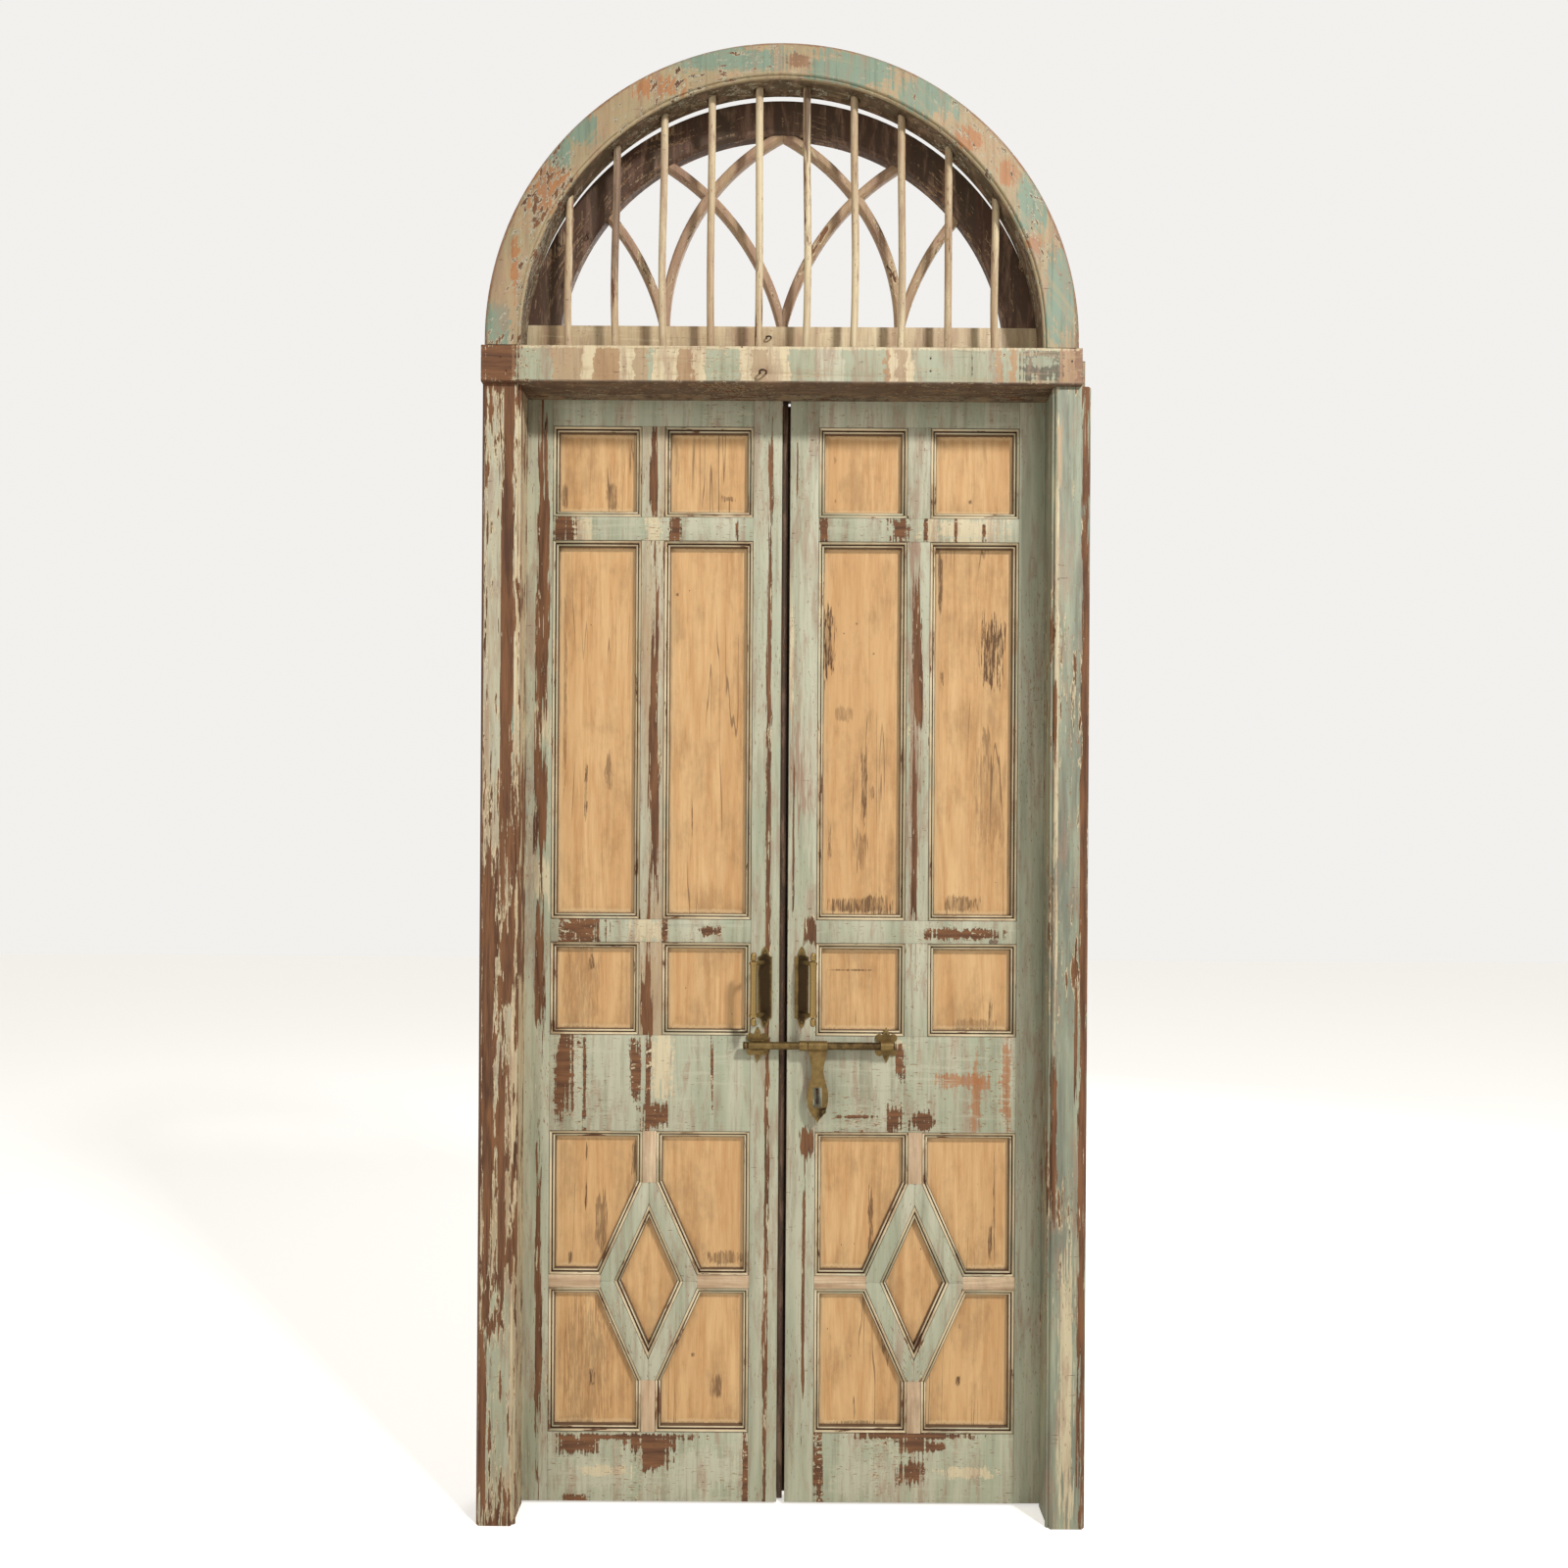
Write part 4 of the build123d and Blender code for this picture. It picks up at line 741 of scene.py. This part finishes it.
def lay_grain(bm, grain):
    """Gives each face corner its place on its own board, along, across and through it from its middle.

    grain is None for the board's long axis, "upright", "level", "bent" for the sash rim, or "sticks" for
    mouldings, whose places across count from their outer edge.
    """
    board = bm.loops.layers.float_vector.new("board")
    reach = bm.faces.layers.float_vector.new("reach")
    seed = bm.faces.layers.float.new("board_seed")
    for number, group in enumerate(islands(bm)):
        points = [v.co for v in points_of(group)]
        if grain == "upright":
            along = Vector((0, 0, 1))
        elif grain in ("level", "bent"):
            along = Vector((1, 0, 0))
        else:
            along = long_axis(points)
        across = Vector((0, 1, 0)).cross(along)
        if grain == "sticks":
            proudest = min(points, key=lambda p: p.y)
            if proudest @ across > sum(span(p @ across for p in points)) / 2:
                across = -across
        axes = along, across, Vector((0, 1, 0))
        low, high = (Vector(ends) for ends in zip(*(span(p @ axis for p in points) for axis in axes)))
        middle = (low + high) / 2
        value = (number * 0.618 + middle.x * 3.7 + middle.y) % 1
        for face in group:
            face[reach] = (high - low) / 2
            face[seed] = value
            for corner in face.loops:
                p = corner.vert.co
                if grain == "bent":
                    side, up = (p - RIM_CENTRE).xz
                    corner[board] = (math.atan2(up, side) * 0.5, math.hypot(side, up) - 0.5, p.y)
                elif grain == "sticks":
                    corner[board] = (p @ along - middle.x, p @ across - low.y, p.y)
                else:
                    corner[board] = (p @ along - middle.x, p @ across - middle.y, p.y - middle.z)


def stray(bm, amount):
    """Moves the points a little within the CAD box, so that old edges don't run dead straight."""
    noise.seed_set(WANDER_SEED)
    low, high = CAD_BOX
    for v in bm.verts:
        shift = noise.noise_vector(v.co * 9.0) * 0.65 + noise.noise_vector(v.co * 41.0) * 0.35
        moved = v.co + Vector((shift.x, shift.y * 0.4, shift.z)) * amount
        v.co = Vector(min(max(at, least), most) for at, least, most in zip(moved, low, high))


def merged(node):
    """A copy of a CAD node's mesh in which neighbouring faces share their points."""
    bm = bmesh.new()
    bm.from_mesh(frame["nodes"][node].data)
    bmesh.ops.remove_doubles(bm, verts=bm.verts, dist=MERGE)
    return bm


def copy_node(node, flat=FLAT):
    """A merged copy of a CAD node's mesh, with its flat faces made whole again."""
    bm = merged(node)
    bmesh.ops.dissolve_limit(
        bm, angle_limit=flat, verts=bm.verts, edges=bm.edges, use_dissolve_boundaries=False)
    return bm


def round_edges(bm, size):
    edges = [e for e in bm.edges if len(e.link_faces) == 2 and e.calc_face_angle(0.0) > SHARP]
    if size > 0 and edges:
        bmesh.ops.bevel(
            bm, geom=edges, offset=size, offset_type="OFFSET", affect="EDGES", segments=2, profile=0.5,
            material=-1, clamp_overlap=True)


def body_of(node):
    return frame["nodes"][node]["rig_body"]


def show(name, data):
    """Puts a new object in the scene."""
    thing = bpy.data.objects.new(name, data)
    bpy.context.scene.collection.objects.link(thing)
    return thing


def finished_mesh(bm, name, material):
    mesh = bpy.data.meshes.new(name)
    bm.to_mesh(mesh)
    bm.free()
    mesh.materials.append(material)
    return mesh


def place(bm, name, body, material, slot, smooth_below=35.0):
    """Makes the finished object, which rides on its body."""
    mesh = finished_mesh(bm, name, material)
    mesh.shade_smooth()
    mesh.set_sharp_from_angle(angle=math.radians(smooth_below))
    piece = show(name, mesh)
    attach(piece, body)
    return piece


def dress(node, material, slot, arris=0.0, grain=None, wander=0.0, suffix="worn", smooth_below=35.0):
    """A worn copy of one CAD node, which stands for it."""
    bm = copy_node(node)
    if arris:
        round_edges(bm, arris)
    if wander:
        stray(bm, wander)
    lay_grain(bm, grain)
    piece = place(bm, f"{node}_{suffix}", body_of(node), material, slot, smooth_below)
    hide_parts(node)
    return piece


def dress_metal(node, material, slot):
    """A smooth copy of a metal node, its edges marked for rubbing and its reach for a painted highlight."""
    bm = copy_node(node, METAL_FLAT)
    lay_grain(bm, None)
    proud = bm.verts.layers.float.new("proud")
    for v in bm.verts:
        lift = [e.calc_face_angle_signed(0.0) for e in v.link_edges if len(e.link_faces) == 2]
        # Painted highlight: the farther a point stands in front of the leaves, the brighter its colour
        reach = max((LEAF_FRONT - v.co.y) / GRIP_HIGHLIGHT_REACH, 0.0)
        v[proud] = min(1.0, max(max(lift, default=0.0) * EDGE_RUB, reach ** GRIP_HIGHLIGHT_CURVE))
    piece = place(bm, f"{node}_aged", body_of(node), material, slot, smooth_below=32.0)
    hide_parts(node)
    return piece


# Operators, one for each piece or group of like pieces

class DOOR_OT_jambs(bpy.types.Operator):
    """Dresses the two jambs and the frame head"""
    bl_idname = "door.jambs"
    bl_label = "Jambs"

    def execute(self, context):
        p, w = paint(), wear()
        jambs = {"left_jamb": (p.tan, p.pale, p.cream, 0.48), "right_jamb": (p.moss, p.sage, p.cream, 0.37)}
        for node, coats in jambs.items():
            finish = painted_board(f"{node}_paint", *coats, MARKS[node], front=LEAF_FRONT)
            dress(node, finish, "frame_paint", w.arris, "upright", w.wander)
        head = painted_board("frame_head_paint", p.tan, p.olive, p.sage, 0.40)
        dress("frame_head", head, "frame_paint", w.arris, "level", w.wander)
        return {"FINISHED"}


def transom_bands(g, ragged):
    """The transom's upright bands of colour, with painted shade along its foot."""
    wobble = g.times(g.down(0.6, 70.0, 4.0), 0.030)
    across = g.add_up(g.x, g.times(ragged, 0.006), wobble, -0.015)
    front = g.bands(across, TRANSOM_LOW.x, TRANSOM_HIGH.x, BANDS)
    # Painted shade: the underside and foot of the transom are darkened to umber
    under = g.step(g.z, TRANSOM_LOW.z + 0.005, TRANSOM_LOW.z + 0.002, 0.0, 0.95)
    return g.mix(under, front, paint().umber)


class DOOR_OT_transom(bpy.types.Operator):
    """Dresses the transom rail under the arch"""
    bl_idname = "door.transom"
    bl_label = "Transom"

    def execute(self, context):
        p, w = paint(), wear()
        finish = painted_board(
            "transom_paint", p.pale, p.tan, p.cream, 0.33, MARKS["transom_rail"], 0.5, tint=transom_bands)
        dress("transom_rail", finish, "frame_paint", w.fine_arris, "level", w.wander)
        return {"FINISHED"}


def arch_bands(g, ragged):
    """The arch ring's colours: a patched face, brown at its outer edge, ochre on the bead, painted shade
    inside.
    """
    p = paint()
    arm = g.vector("MULTIPLY", g.vector("SUBTRACT", g.object, tuple(ARCH_CENTRE)), (1.0, 0.0, 1.0))
    radius = g.add_up(g.vector("LENGTH", arm), g.times(ragged, 0.002))
    face = g.mix(g.step(g.down(1.0, 13.0, 4.0), 0.40, 0.62), p.tan, p.ochre)
    face = g.mix(g.step(radius, ARCH_RADIUS - 0.010, ARCH_RADIUS - 0.006), face, p.brown)
    face = g.mix(g.step(radius, ARCH_INNER + 0.012, ARCH_INNER + 0.009), face, p.ochre)
    # Painted shade: everything behind the ring's front is dark olive
    return g.mix(g.step(g.y, ARCH_FRONT + 0.006, ARCH_FRONT + 0.009), face, p.olive)


class DOOR_OT_arch(bpy.types.Operator):
    """Dresses the four sawn segments of the arch ring"""
    bl_idname = "door.arch"
    bl_label = "Arch ring"

    def execute(self, context):
        p = paint()
        finish = painted_board(
            "arch_paint", p.tan, p.ochre, p.pale, 0.40, MARKS["arch"], drawn=0.35, edge=0.3,
            front=ARCH_FRONT + 0.004, tint=arch_bands)
        for segment in ("left_haunch", "left_crown", "right_crown", "right_haunch"):
            dress(f"arch_{segment}", finish, "arch_paint", wander=SLIGHT_WANDER)
        return {"FINISHED"}


class DOOR_OT_bars(bpy.types.Operator):
    """Dresses the ten upright grille bars, with a slight bow in each"""
    bl_idname = "door.bars"
    bl_label = "Grille bars"

    def execute(self, context):
        p, w = paint(), wear()
        finish = painted_board("bar_paint", p.tan, p.cream, p.mauve, 0.36, MARKS["grille_bars"], edge=0.0)
        bm = copy_node("grille_bars")
        long_edges = [e for e in bm.edges if e.calc_length() > 0.06]
        bmesh.ops.subdivide_edges(bm, edges=long_edges, cuts=11, use_grid_fill=True)
        for group in list(islands(bm)):
            verts = points_of(group)
            low, high = span(v.co.z for v in verts)
            middle = sum(v.co.x for v in verts) / len(verts)
            lean = math.sin(middle * 57.0) * w.bar_bow
            for v in verts:
                up = (v.co.z - low) / (high - low)
                v.co.x += lean * math.sin(math.pi * up) + lean * 0.5 * math.sin(2 * math.pi * up)
        lay_grain(bm, "upright")
        piece = place(bm, "grille_bars_worn", "frame", finish, "bar_paint")
        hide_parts("grille_bars")
        return {"FINISHED"}


class DOOR_OT_sash(bpy.types.Operator):
    """Dresses the arched sash behind the bars and its tracery"""
    bl_idname = "door.sash"
    bl_label = "Sash and tracery"

    def execute(self, context):
        p, w = paint(), wear()
        finish = painted_board("sash_paint", p.tan, p.cream, p.cream, 0.33, edge=0.4)
        # Painted shade: the sash rim is coated dark olive and umber
        rim = painted_board("sash_rim_shade_paint", p.olive, p.umber, p.tan, 0.36, edge=0.4)
        dress("sash_rim", rim, "sash_wood", grain="bent")
        dress("sash_bottom_rail", finish, "sash_wood", w.arris, "level", w.wander)
        ribs = painted_board("tracery_paint", p.tan, p.mauve, p.cream, 0.36, edge=0.4)
        for side in ("left", "right"):
            dress(f"sash_tracery_{side}", ribs, "sash_wood", w.fine_arris, None, SLIGHT_WANDER)
        return {"FINISHED"}


def leaf_board(node, coat, second, worn, grain, drawn=0.12):
    """Dresses one painted board of a leaf, with its own marks."""
    p, w = paint(), wear()
    finish = painted_board(
        f"{node}_paint", coat, second, p.cream, worn, MARKS.get(node, ()), drawn, front=LEAF_FRONT + 0.002)
    dress(node, finish, "leaf_paint", w.arris, grain, w.wander)


class DOOR_OT_stiles(bpy.types.Operator):
    """Dresses the stiles of both leaves"""
    bl_idname = "door.stiles"
    bl_label = "Stiles"

    def execute(self, context):
        p = paint()
        leaf_board("left_hanging_stile", p.sage, p.pale, 0.33, "upright")
        leaf_board("left_meeting_stile", p.pale, p.sage, 0.27, "upright")
        leaf_board("right_meeting_stile", p.pale, p.sage, 0.30, "upright")
        leaf_board("right_hanging_stile", p.sage, p.pale, 0.25, "upright")
        return {"FINISHED"}


class DOOR_OT_rails(bpy.types.Operator):
    """Dresses the rails and the mullions of both leaves"""
    bl_idname = "door.rails"
    bl_label = "Rails and mullions"

    def execute(self, context):
        p = paint()
        for side in ("left", "right"):
            for rail in ("top", "upper", "middle", "lock", "bottom"):
                leaf_board(f"{side}_{rail}_rail", p.sage, p.pale, 0.30, "level", 0.5)
        leaf_board("left_mullions", p.pale, p.tan, 0.35, "upright")
        leaf_board("right_mullions", p.sage, p.pale, 0.31, "upright")
        return {"FINISHED"}


def add_block(bm, low, high):
    """Adds a box between two corners."""
    stand = Matrix.Translation((low + high) / 2) @ Matrix.Diagonal((*(high - low), 1.0))
    bmesh.ops.create_cube(bm, size=1.0, matrix=stand)


class DOOR_OT_strip(bpy.types.Operator):
    """Adds the thin cover strip behind the left meeting stile, with the tongue that closes the joint, both
    coated dark as painted shade in the joint
    """
    bl_idname = "door.strip"
    bl_label = "Cover strip"

    def execute(self, context):
        p, w = paint(), wear()
        left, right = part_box("left_meeting_stile"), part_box("right_meeting_stile")
        low = Vector((left[1].x - w.strip_lap, left[1].y + STRIP_GAP, left[0].z + STRIP_SHORT))
        high = Vector((right[0].x + w.strip_lap, left[1].y + STRIP_GAP + w.strip, left[1].z - STRIP_SHORT))
        bm = bmesh.new()
        add_block(bm, low, high)
        low = Vector((left[1].x + STRIP_GAP, LEAF_FRONT + w.tongue_depth, low.z))
        high = Vector((right[0].x - w.tongue_gap, left[1].y + STRIP_GAP + w.strip / 2, high.z))
        add_block(bm, low, high)
        round_edges(bm, w.arris)
        lay_grain(bm, "upright")
        # Painted shade: the strip and its tongue are coated dark olive and umber
        finish = painted_board("strip_shade_paint", p.olive, p.umber, p.umber, 0.36)
        place(bm, "cover_strip", "left_leaf", finish, "leaf_paint")
        return {"FINISHED"}


class DOOR_OT_diamonds(bpy.types.Operator):
    """Dresses the diamond frames and the thinly painted muntins round them"""
    bl_idname = "door.diamonds"
    bl_label = "Diamonds and muntins"

    def execute(self, context):
        p, w, boards = paint(), wear(), wood()
        members = painted_board("diamond_paint", p.pale, p.sage, p.cream, 0.30, edge=1.6)
        muntins = bare_board("muntin_wood", boards.muntin, boards.muntin_deep)
        for side in ("left", "right"):
            dress(f"{side}_diamond_frame", members, "leaf_paint", w.fine_arris)
            dress(f"{side}_lower_muntins", muntins, "bare_wood", w.fine_arris)
        return {"FINISHED"}


class DOOR_OT_panels(bpy.types.Operator):
    """Dresses the panels of both leaves"""
    bl_idname = "door.panels"
    bl_label = "Panels"

    def execute(self, context):
        boards = wood()
        for side in ("left", "right"):
            for panel in ("small_panels", "tall_panels", "square_panels", "corner_panels", "diamond_panel"):
                node = f"{side}_{panel}"
                finish = bare_board(
                    f"{node}_wood", boards.panel, boards.panel_deep, boards.panel_edge,
                    STAINS.get(node, ()), holes=True)
                dress(node, finish, "panel_wood", grain="upright", suffix="aged")
        return {"FINISHED"}


class DOOR_OT_mouldings(bpy.types.Operator):
    """Dresses the double-bead mouldings round the panels"""
    bl_idname = "door.mouldings"
    bl_label = "Mouldings"

    def execute(self, context):
        finish = bead_paint("moulding_paint")
        for side in ("left", "right"):
            dress(f"{side}_mouldings", finish, "moulding_paint", grain="sticks", smooth_below=50.0)
        return {"FINISHED"}


class DOOR_OT_brass(bpy.types.Operator):
    """Dresses the handles, the bolt, the hasp and their fittings"""
    bl_idname = "door.brass"
    bl_label = "Brass"

    def execute(self, context):
        m = metal()
        finish = aged_metal("aged_brass", m.brass, m.patina)
        for node in ("left_handle", "right_handle", "bolt_keeper", "bolt_guides", "bolt_rod", "hasp"):
            dress_metal(node, finish, "brass")
        return {"FINISHED"}


class DOOR_OT_iron(bpy.types.Operator):
    """Dresses the staples and the hinges"""
    bl_idname = "door.iron"
    bl_label = "Iron"

    def execute(self, context):
        m = metal()
        finish = aged_metal("rusty_iron", m.iron, m.iron, m.iron_rust)
        for node in (
                "sash_staples", "lintel_staple", "hasp_staple", "left_hinge_frame_halves",
                "right_hinge_frame_halves", "hinge_pins", "left_hinge_leaf_halves",
                "right_hinge_leaf_halves"):
            dress_metal(node, finish, "iron")
        return {"FINISHED"}


def screw_head(bm, foot, out, size, turn, slotted):
    """Adds a head on a face: a disc, and on a screw two half discs with the slot between them."""
    radius = size / 2
    stand = Matrix.Translation(foot) @ out.to_track_quat("Z", "Y").to_matrix().to_4x4()
    stand = stand @ Matrix.Rotation(turn, 4, "Z")
    bmesh.ops.create_cone(
        bm, cap_ends=True, segments=24, radius1=radius, radius2=radius * 0.97, depth=SCREW_DISC,
        matrix=stand @ Matrix.Translation((0, 0, SCREW_DISC / 2)))
    if not slotted:
        return
    start = math.asin(SLOT_WIDTH / size)
    for half in (0.0, math.pi):
        angles = [half + start + (math.pi - 2 * start) * n / 11 for n in range(12)]
        rings = []
        for height, inset in ((SCREW_DISC * 0.5, 0.96), (SCREW_DISC + SLOT_DEPTH, 0.84)):
            reach = radius * inset
            points = [Vector((math.cos(a) * reach, math.sin(a) * reach, height)) for a in angles]
            rings.append([bm.verts.new(stand @ point) for point in points])
        low, high = rings
        bm.faces.new(low)
        bm.faces.new(high)
        for n in range(12):
            after = (n + 1) % 12
            bm.faces.new((low[n], low[after], high[after], high[n]))


def add_screws(name, body, slot, material, places, out, size, slotted=True):
    """One object with a screw at each place, or a nail where it isn't slotted."""
    bm = bmesh.new()
    for number, foot in enumerate(places):
        screw_head(bm, foot, out, size, number * 1.9, slotted)
    bmesh.ops.recalc_face_normals(bm, faces=bm.faces)
    proud = bm.verts.layers.float.new("proud")
    for v in bm.verts:
        v[proud] = SCREW_RUB
    lay_grain(bm, None)
    place(bm, name, body, material, slot)


def plate_places(node, share_x):
    """The screw places on the back of each hinge half. share_x is how far they lie across its width."""
    bm = merged(node)
    places = []
    for group in islands(bm):
        points = [v.co for v in points_of(group)]
        left, right = span(p.x for p in points)
        bottom, top = span(p.z for p in points)
        x = left + (right - left) * share_x
        flat = max(p.y for p in points if abs(p.x - (left if share_x < 0.5 else right)) < 0.001)
        for up in HINGE_SCREWS:
            places.append(Vector((x, flat, bottom + (top - bottom) * up)))
    bm.free()
    return places


class DOOR_OT_fasteners(bpy.types.Operator):
    """Adds the screws of the plates and hinges, and the nails in the transom"""
    bl_idname = "door.fasteners"
    bl_label = "Screws and nails"

    def execute(self, context):
        m, size = metal(), wear().screw
        brass = aged_metal("screw_brass", m.brass, m.patina)
        iron = aged_metal("screw_iron", m.iron, m.iron, m.iron_rust)
        front, back = Vector((0, -1, 0)), Vector((0, 1, 0))
        for side, plate in (("left", "bolt_keeper"), ("right", "bolt_guides")):
            leaf = f"{side}_leaf"
            grip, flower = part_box(f"{side}_handle"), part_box(plate)
            inner = PLATE_FROM_CENTRE if side == "right" else -PLATE_FROM_CENTRE
            centre = flower[0].x + FLOWER_HALF if side == "left" else flower[1].x - FLOWER_HALF
            for name, (low, high), x, thickness in (
                    ("handle", grip, inner, PLATE_THICKNESS), ("flower", flower, centre, FLOWER_THICKNESS)):
                feet = [
                    Vector((x, LEAF_FRONT - thickness, z))
                    for z in (low.z + SCREW_FROM_END, high.z - SCREW_FROM_END)]
                add_screws(f"{side}_{name}_screws", leaf, "brass", brass, feet, front, size * SMALL_SCREW)
            outer = HINGE_SHARE if side == "left" else 1 - HINGE_SHARE
            for half, body, across in (("frame", "frame", outer), ("leaf", leaf, 1 - outer)):
                feet = plate_places(f"{side}_hinge_{half}_halves", across)
                add_screws(f"{side}_hinge_{half}_screws", body, "iron", iron, feet, back, size)
        middle = (TRANSOM_LOW.z + TRANSOM_HIGH.z) / 2
        feet = [Vector((x, ARCH_FRONT, middle + rise)) for x, rise in TRANSOM_NAILS]
        add_screws("transom_nails", "frame", "iron", iron, feet, front, size * NAIL, slotted=False)
        return {"FINISHED"}


def soft_lamp(name, location, target, size, watts):
    data = bpy.data.lights.new(name, "AREA")
    data.shape = "SQUARE"
    data.size = size
    data.energy = watts
    lamp = show(name, data)
    lamp.location = location
    lamp.rotation_mode = "QUATERNION"
    lamp.rotation_quaternion = (target - location).to_track_quat("-Z", "Y")


def seen_directly(tree):
    """1 for rays that come from the camera or from a glossy surface."""
    path = tree.nodes.new("ShaderNodeLightPath")
    either = tree.nodes.new("ShaderNodeMath")
    either.operation = "MAXIMUM"
    tree.links.new(path.outputs["Is Camera Ray"], either.inputs[0])
    tree.links.new(path.outputs["Is Glossy Ray"], either.inputs[1])
    return either.outputs[0]


def by_ray(tree, otherwise, seen):
    """A strength that differs for rays that see the surface directly."""
    amount = tree.nodes.new("ShaderNodeMapRange")
    tree.links.new(seen_directly(tree), amount.inputs["Value"])
    amount.inputs["To Min"].default_value = otherwise
    amount.inputs["To Max"].default_value = seen
    return amount.outputs["Result"]


def pale_ground(name, tint, glow):
    """A plain pale floor that keeps the object's shadow."""
    material = bpy.data.materials.new(name)
    material.use_nodes = True
    tree = material.node_tree
    shader = tree.nodes["Principled BSDF"]
    shader.inputs["Base Color"].default_value = linear(tint)
    shader.inputs["Roughness"].default_value = 0.9
    shader.inputs["Emission Color"].default_value = linear(tint)
    tree.links.new(by_ray(tree, 0.0, glow), shader.inputs["Emission Strength"])
    return material


def show_sky(strength, seen):
    """Even light from all round, which the camera sees as a pale backdrop."""
    world = bpy.data.worlds.new("studio")
    bpy.context.scene.world = world
    world.use_nodes = True
    tree = world.node_tree
    back = tree.nodes["Background"]
    tree.links.new(by_ray(tree, strength, seen), back.inputs["Strength"])
    back.inputs["Color"].default_value = SKY_COLOUR


class DOOR_OT_stage(bpy.types.Operator):
    """Sets the floor, the lamps and the camera"""
    bl_idname = "door.stage"
    bl_label = "Stage"

    def execute(self, context):
        s = context.scene.door_stage
        low, high = CAD_BOX
        bm = bmesh.new()
        bmesh.ops.create_grid(bm, x_segments=8, y_segments=8, size=FLOOR_HALF)
        floor = show("floor", finished_mesh(bm, "floor", pale_ground("floor_paint", s.floor, FLOOR_SEEN)))
        middle = (low + high) / 2
        soft_lamp("key", KEY_PLACE, middle, KEY_SIZE, s.key)
        soft_lamp("fill", FILL_PLACE, middle, WIDE_LAMP, s.fill)
        soft_lamp("back", BACK_PLACE, middle, WIDE_LAMP, s.back)
        show_sky(s.sky, SKY_SEEN)
        context.scene.view_settings.view_transform = "Standard"
        data = bpy.data.cameras.new("camera")
        camera = show("camera", data)
        covered = PHOTO_PIXELS * s.scale
        data.sensor_width = SENSOR_WIDTH
        data.lens = data.sensor_width * s.distance / covered
        camera.location = (0.0, ARCH_FRONT - s.distance, s.eye_height)
        camera.rotation_euler = (math.radians(90), CAMERA_ROLL, 0)
        data.shift_y = (low.z + (PHOTO_FOOT - PHOTO_PIXELS / 2) * s.scale - s.eye_height) / covered
        context.scene.camera = camera
        return {"FINISHED"}


PIECES = (
    DOOR_OT_jambs, DOOR_OT_transom, DOOR_OT_arch, DOOR_OT_bars, DOOR_OT_sash, DOOR_OT_stiles, DOOR_OT_rails,
    DOOR_OT_strip, DOOR_OT_diamonds, DOOR_OT_panels, DOOR_OT_mouldings, DOOR_OT_brass, DOOR_OT_iron,
    DOOR_OT_fasteners, DOOR_OT_stage)
SETTINGS = {
    "door_paint": DoorPaint, "door_wood": DoorWood, "door_metal": DoorMetal, "door_wear": DoorWear,
    "door_stage": DoorStage}


class DOOR_PT_sidebar(bpy.types.Panel):
    """Lists the door's pieces in the order in which they are made"""
    bl_idname = "DOOR_PT_sidebar"
    bl_label = "Arched double door"
    bl_space_type = "VIEW_3D"
    bl_region_type = "UI"
    bl_category = "Door"

    def draw(self, context):
        for operator in PIECES:
            self.layout.operator(operator.bl_idname)
        for name, group in SETTINGS.items():
            box = self.layout.box()
            for prop in group.__annotations__:
                box.prop(getattr(context.scene, name), prop)


def register():
    for name, group in SETTINGS.items():
        bpy.utils.register_class(group)
        setattr(bpy.types.Scene, name, bpy.props.PointerProperty(type=group))
    for operator in PIECES:
        bpy.utils.register_class(operator)
    bpy.utils.register_class(DOOR_PT_sidebar)


def unregister():
    bpy.utils.unregister_class(DOOR_PT_sidebar)
    for operator in reversed(PIECES):
        bpy.utils.unregister_class(operator)
    for name, group in reversed(list(SETTINGS.items())):
        delattr(bpy.types.Scene, name)
        bpy.utils.unregister_class(group)


def main():
    register()
    for operator in PIECES:
        group, name = operator.bl_idname.split(".")
        getattr(getattr(bpy.ops, group), name)()


if __name__ == "__main__":
    main()
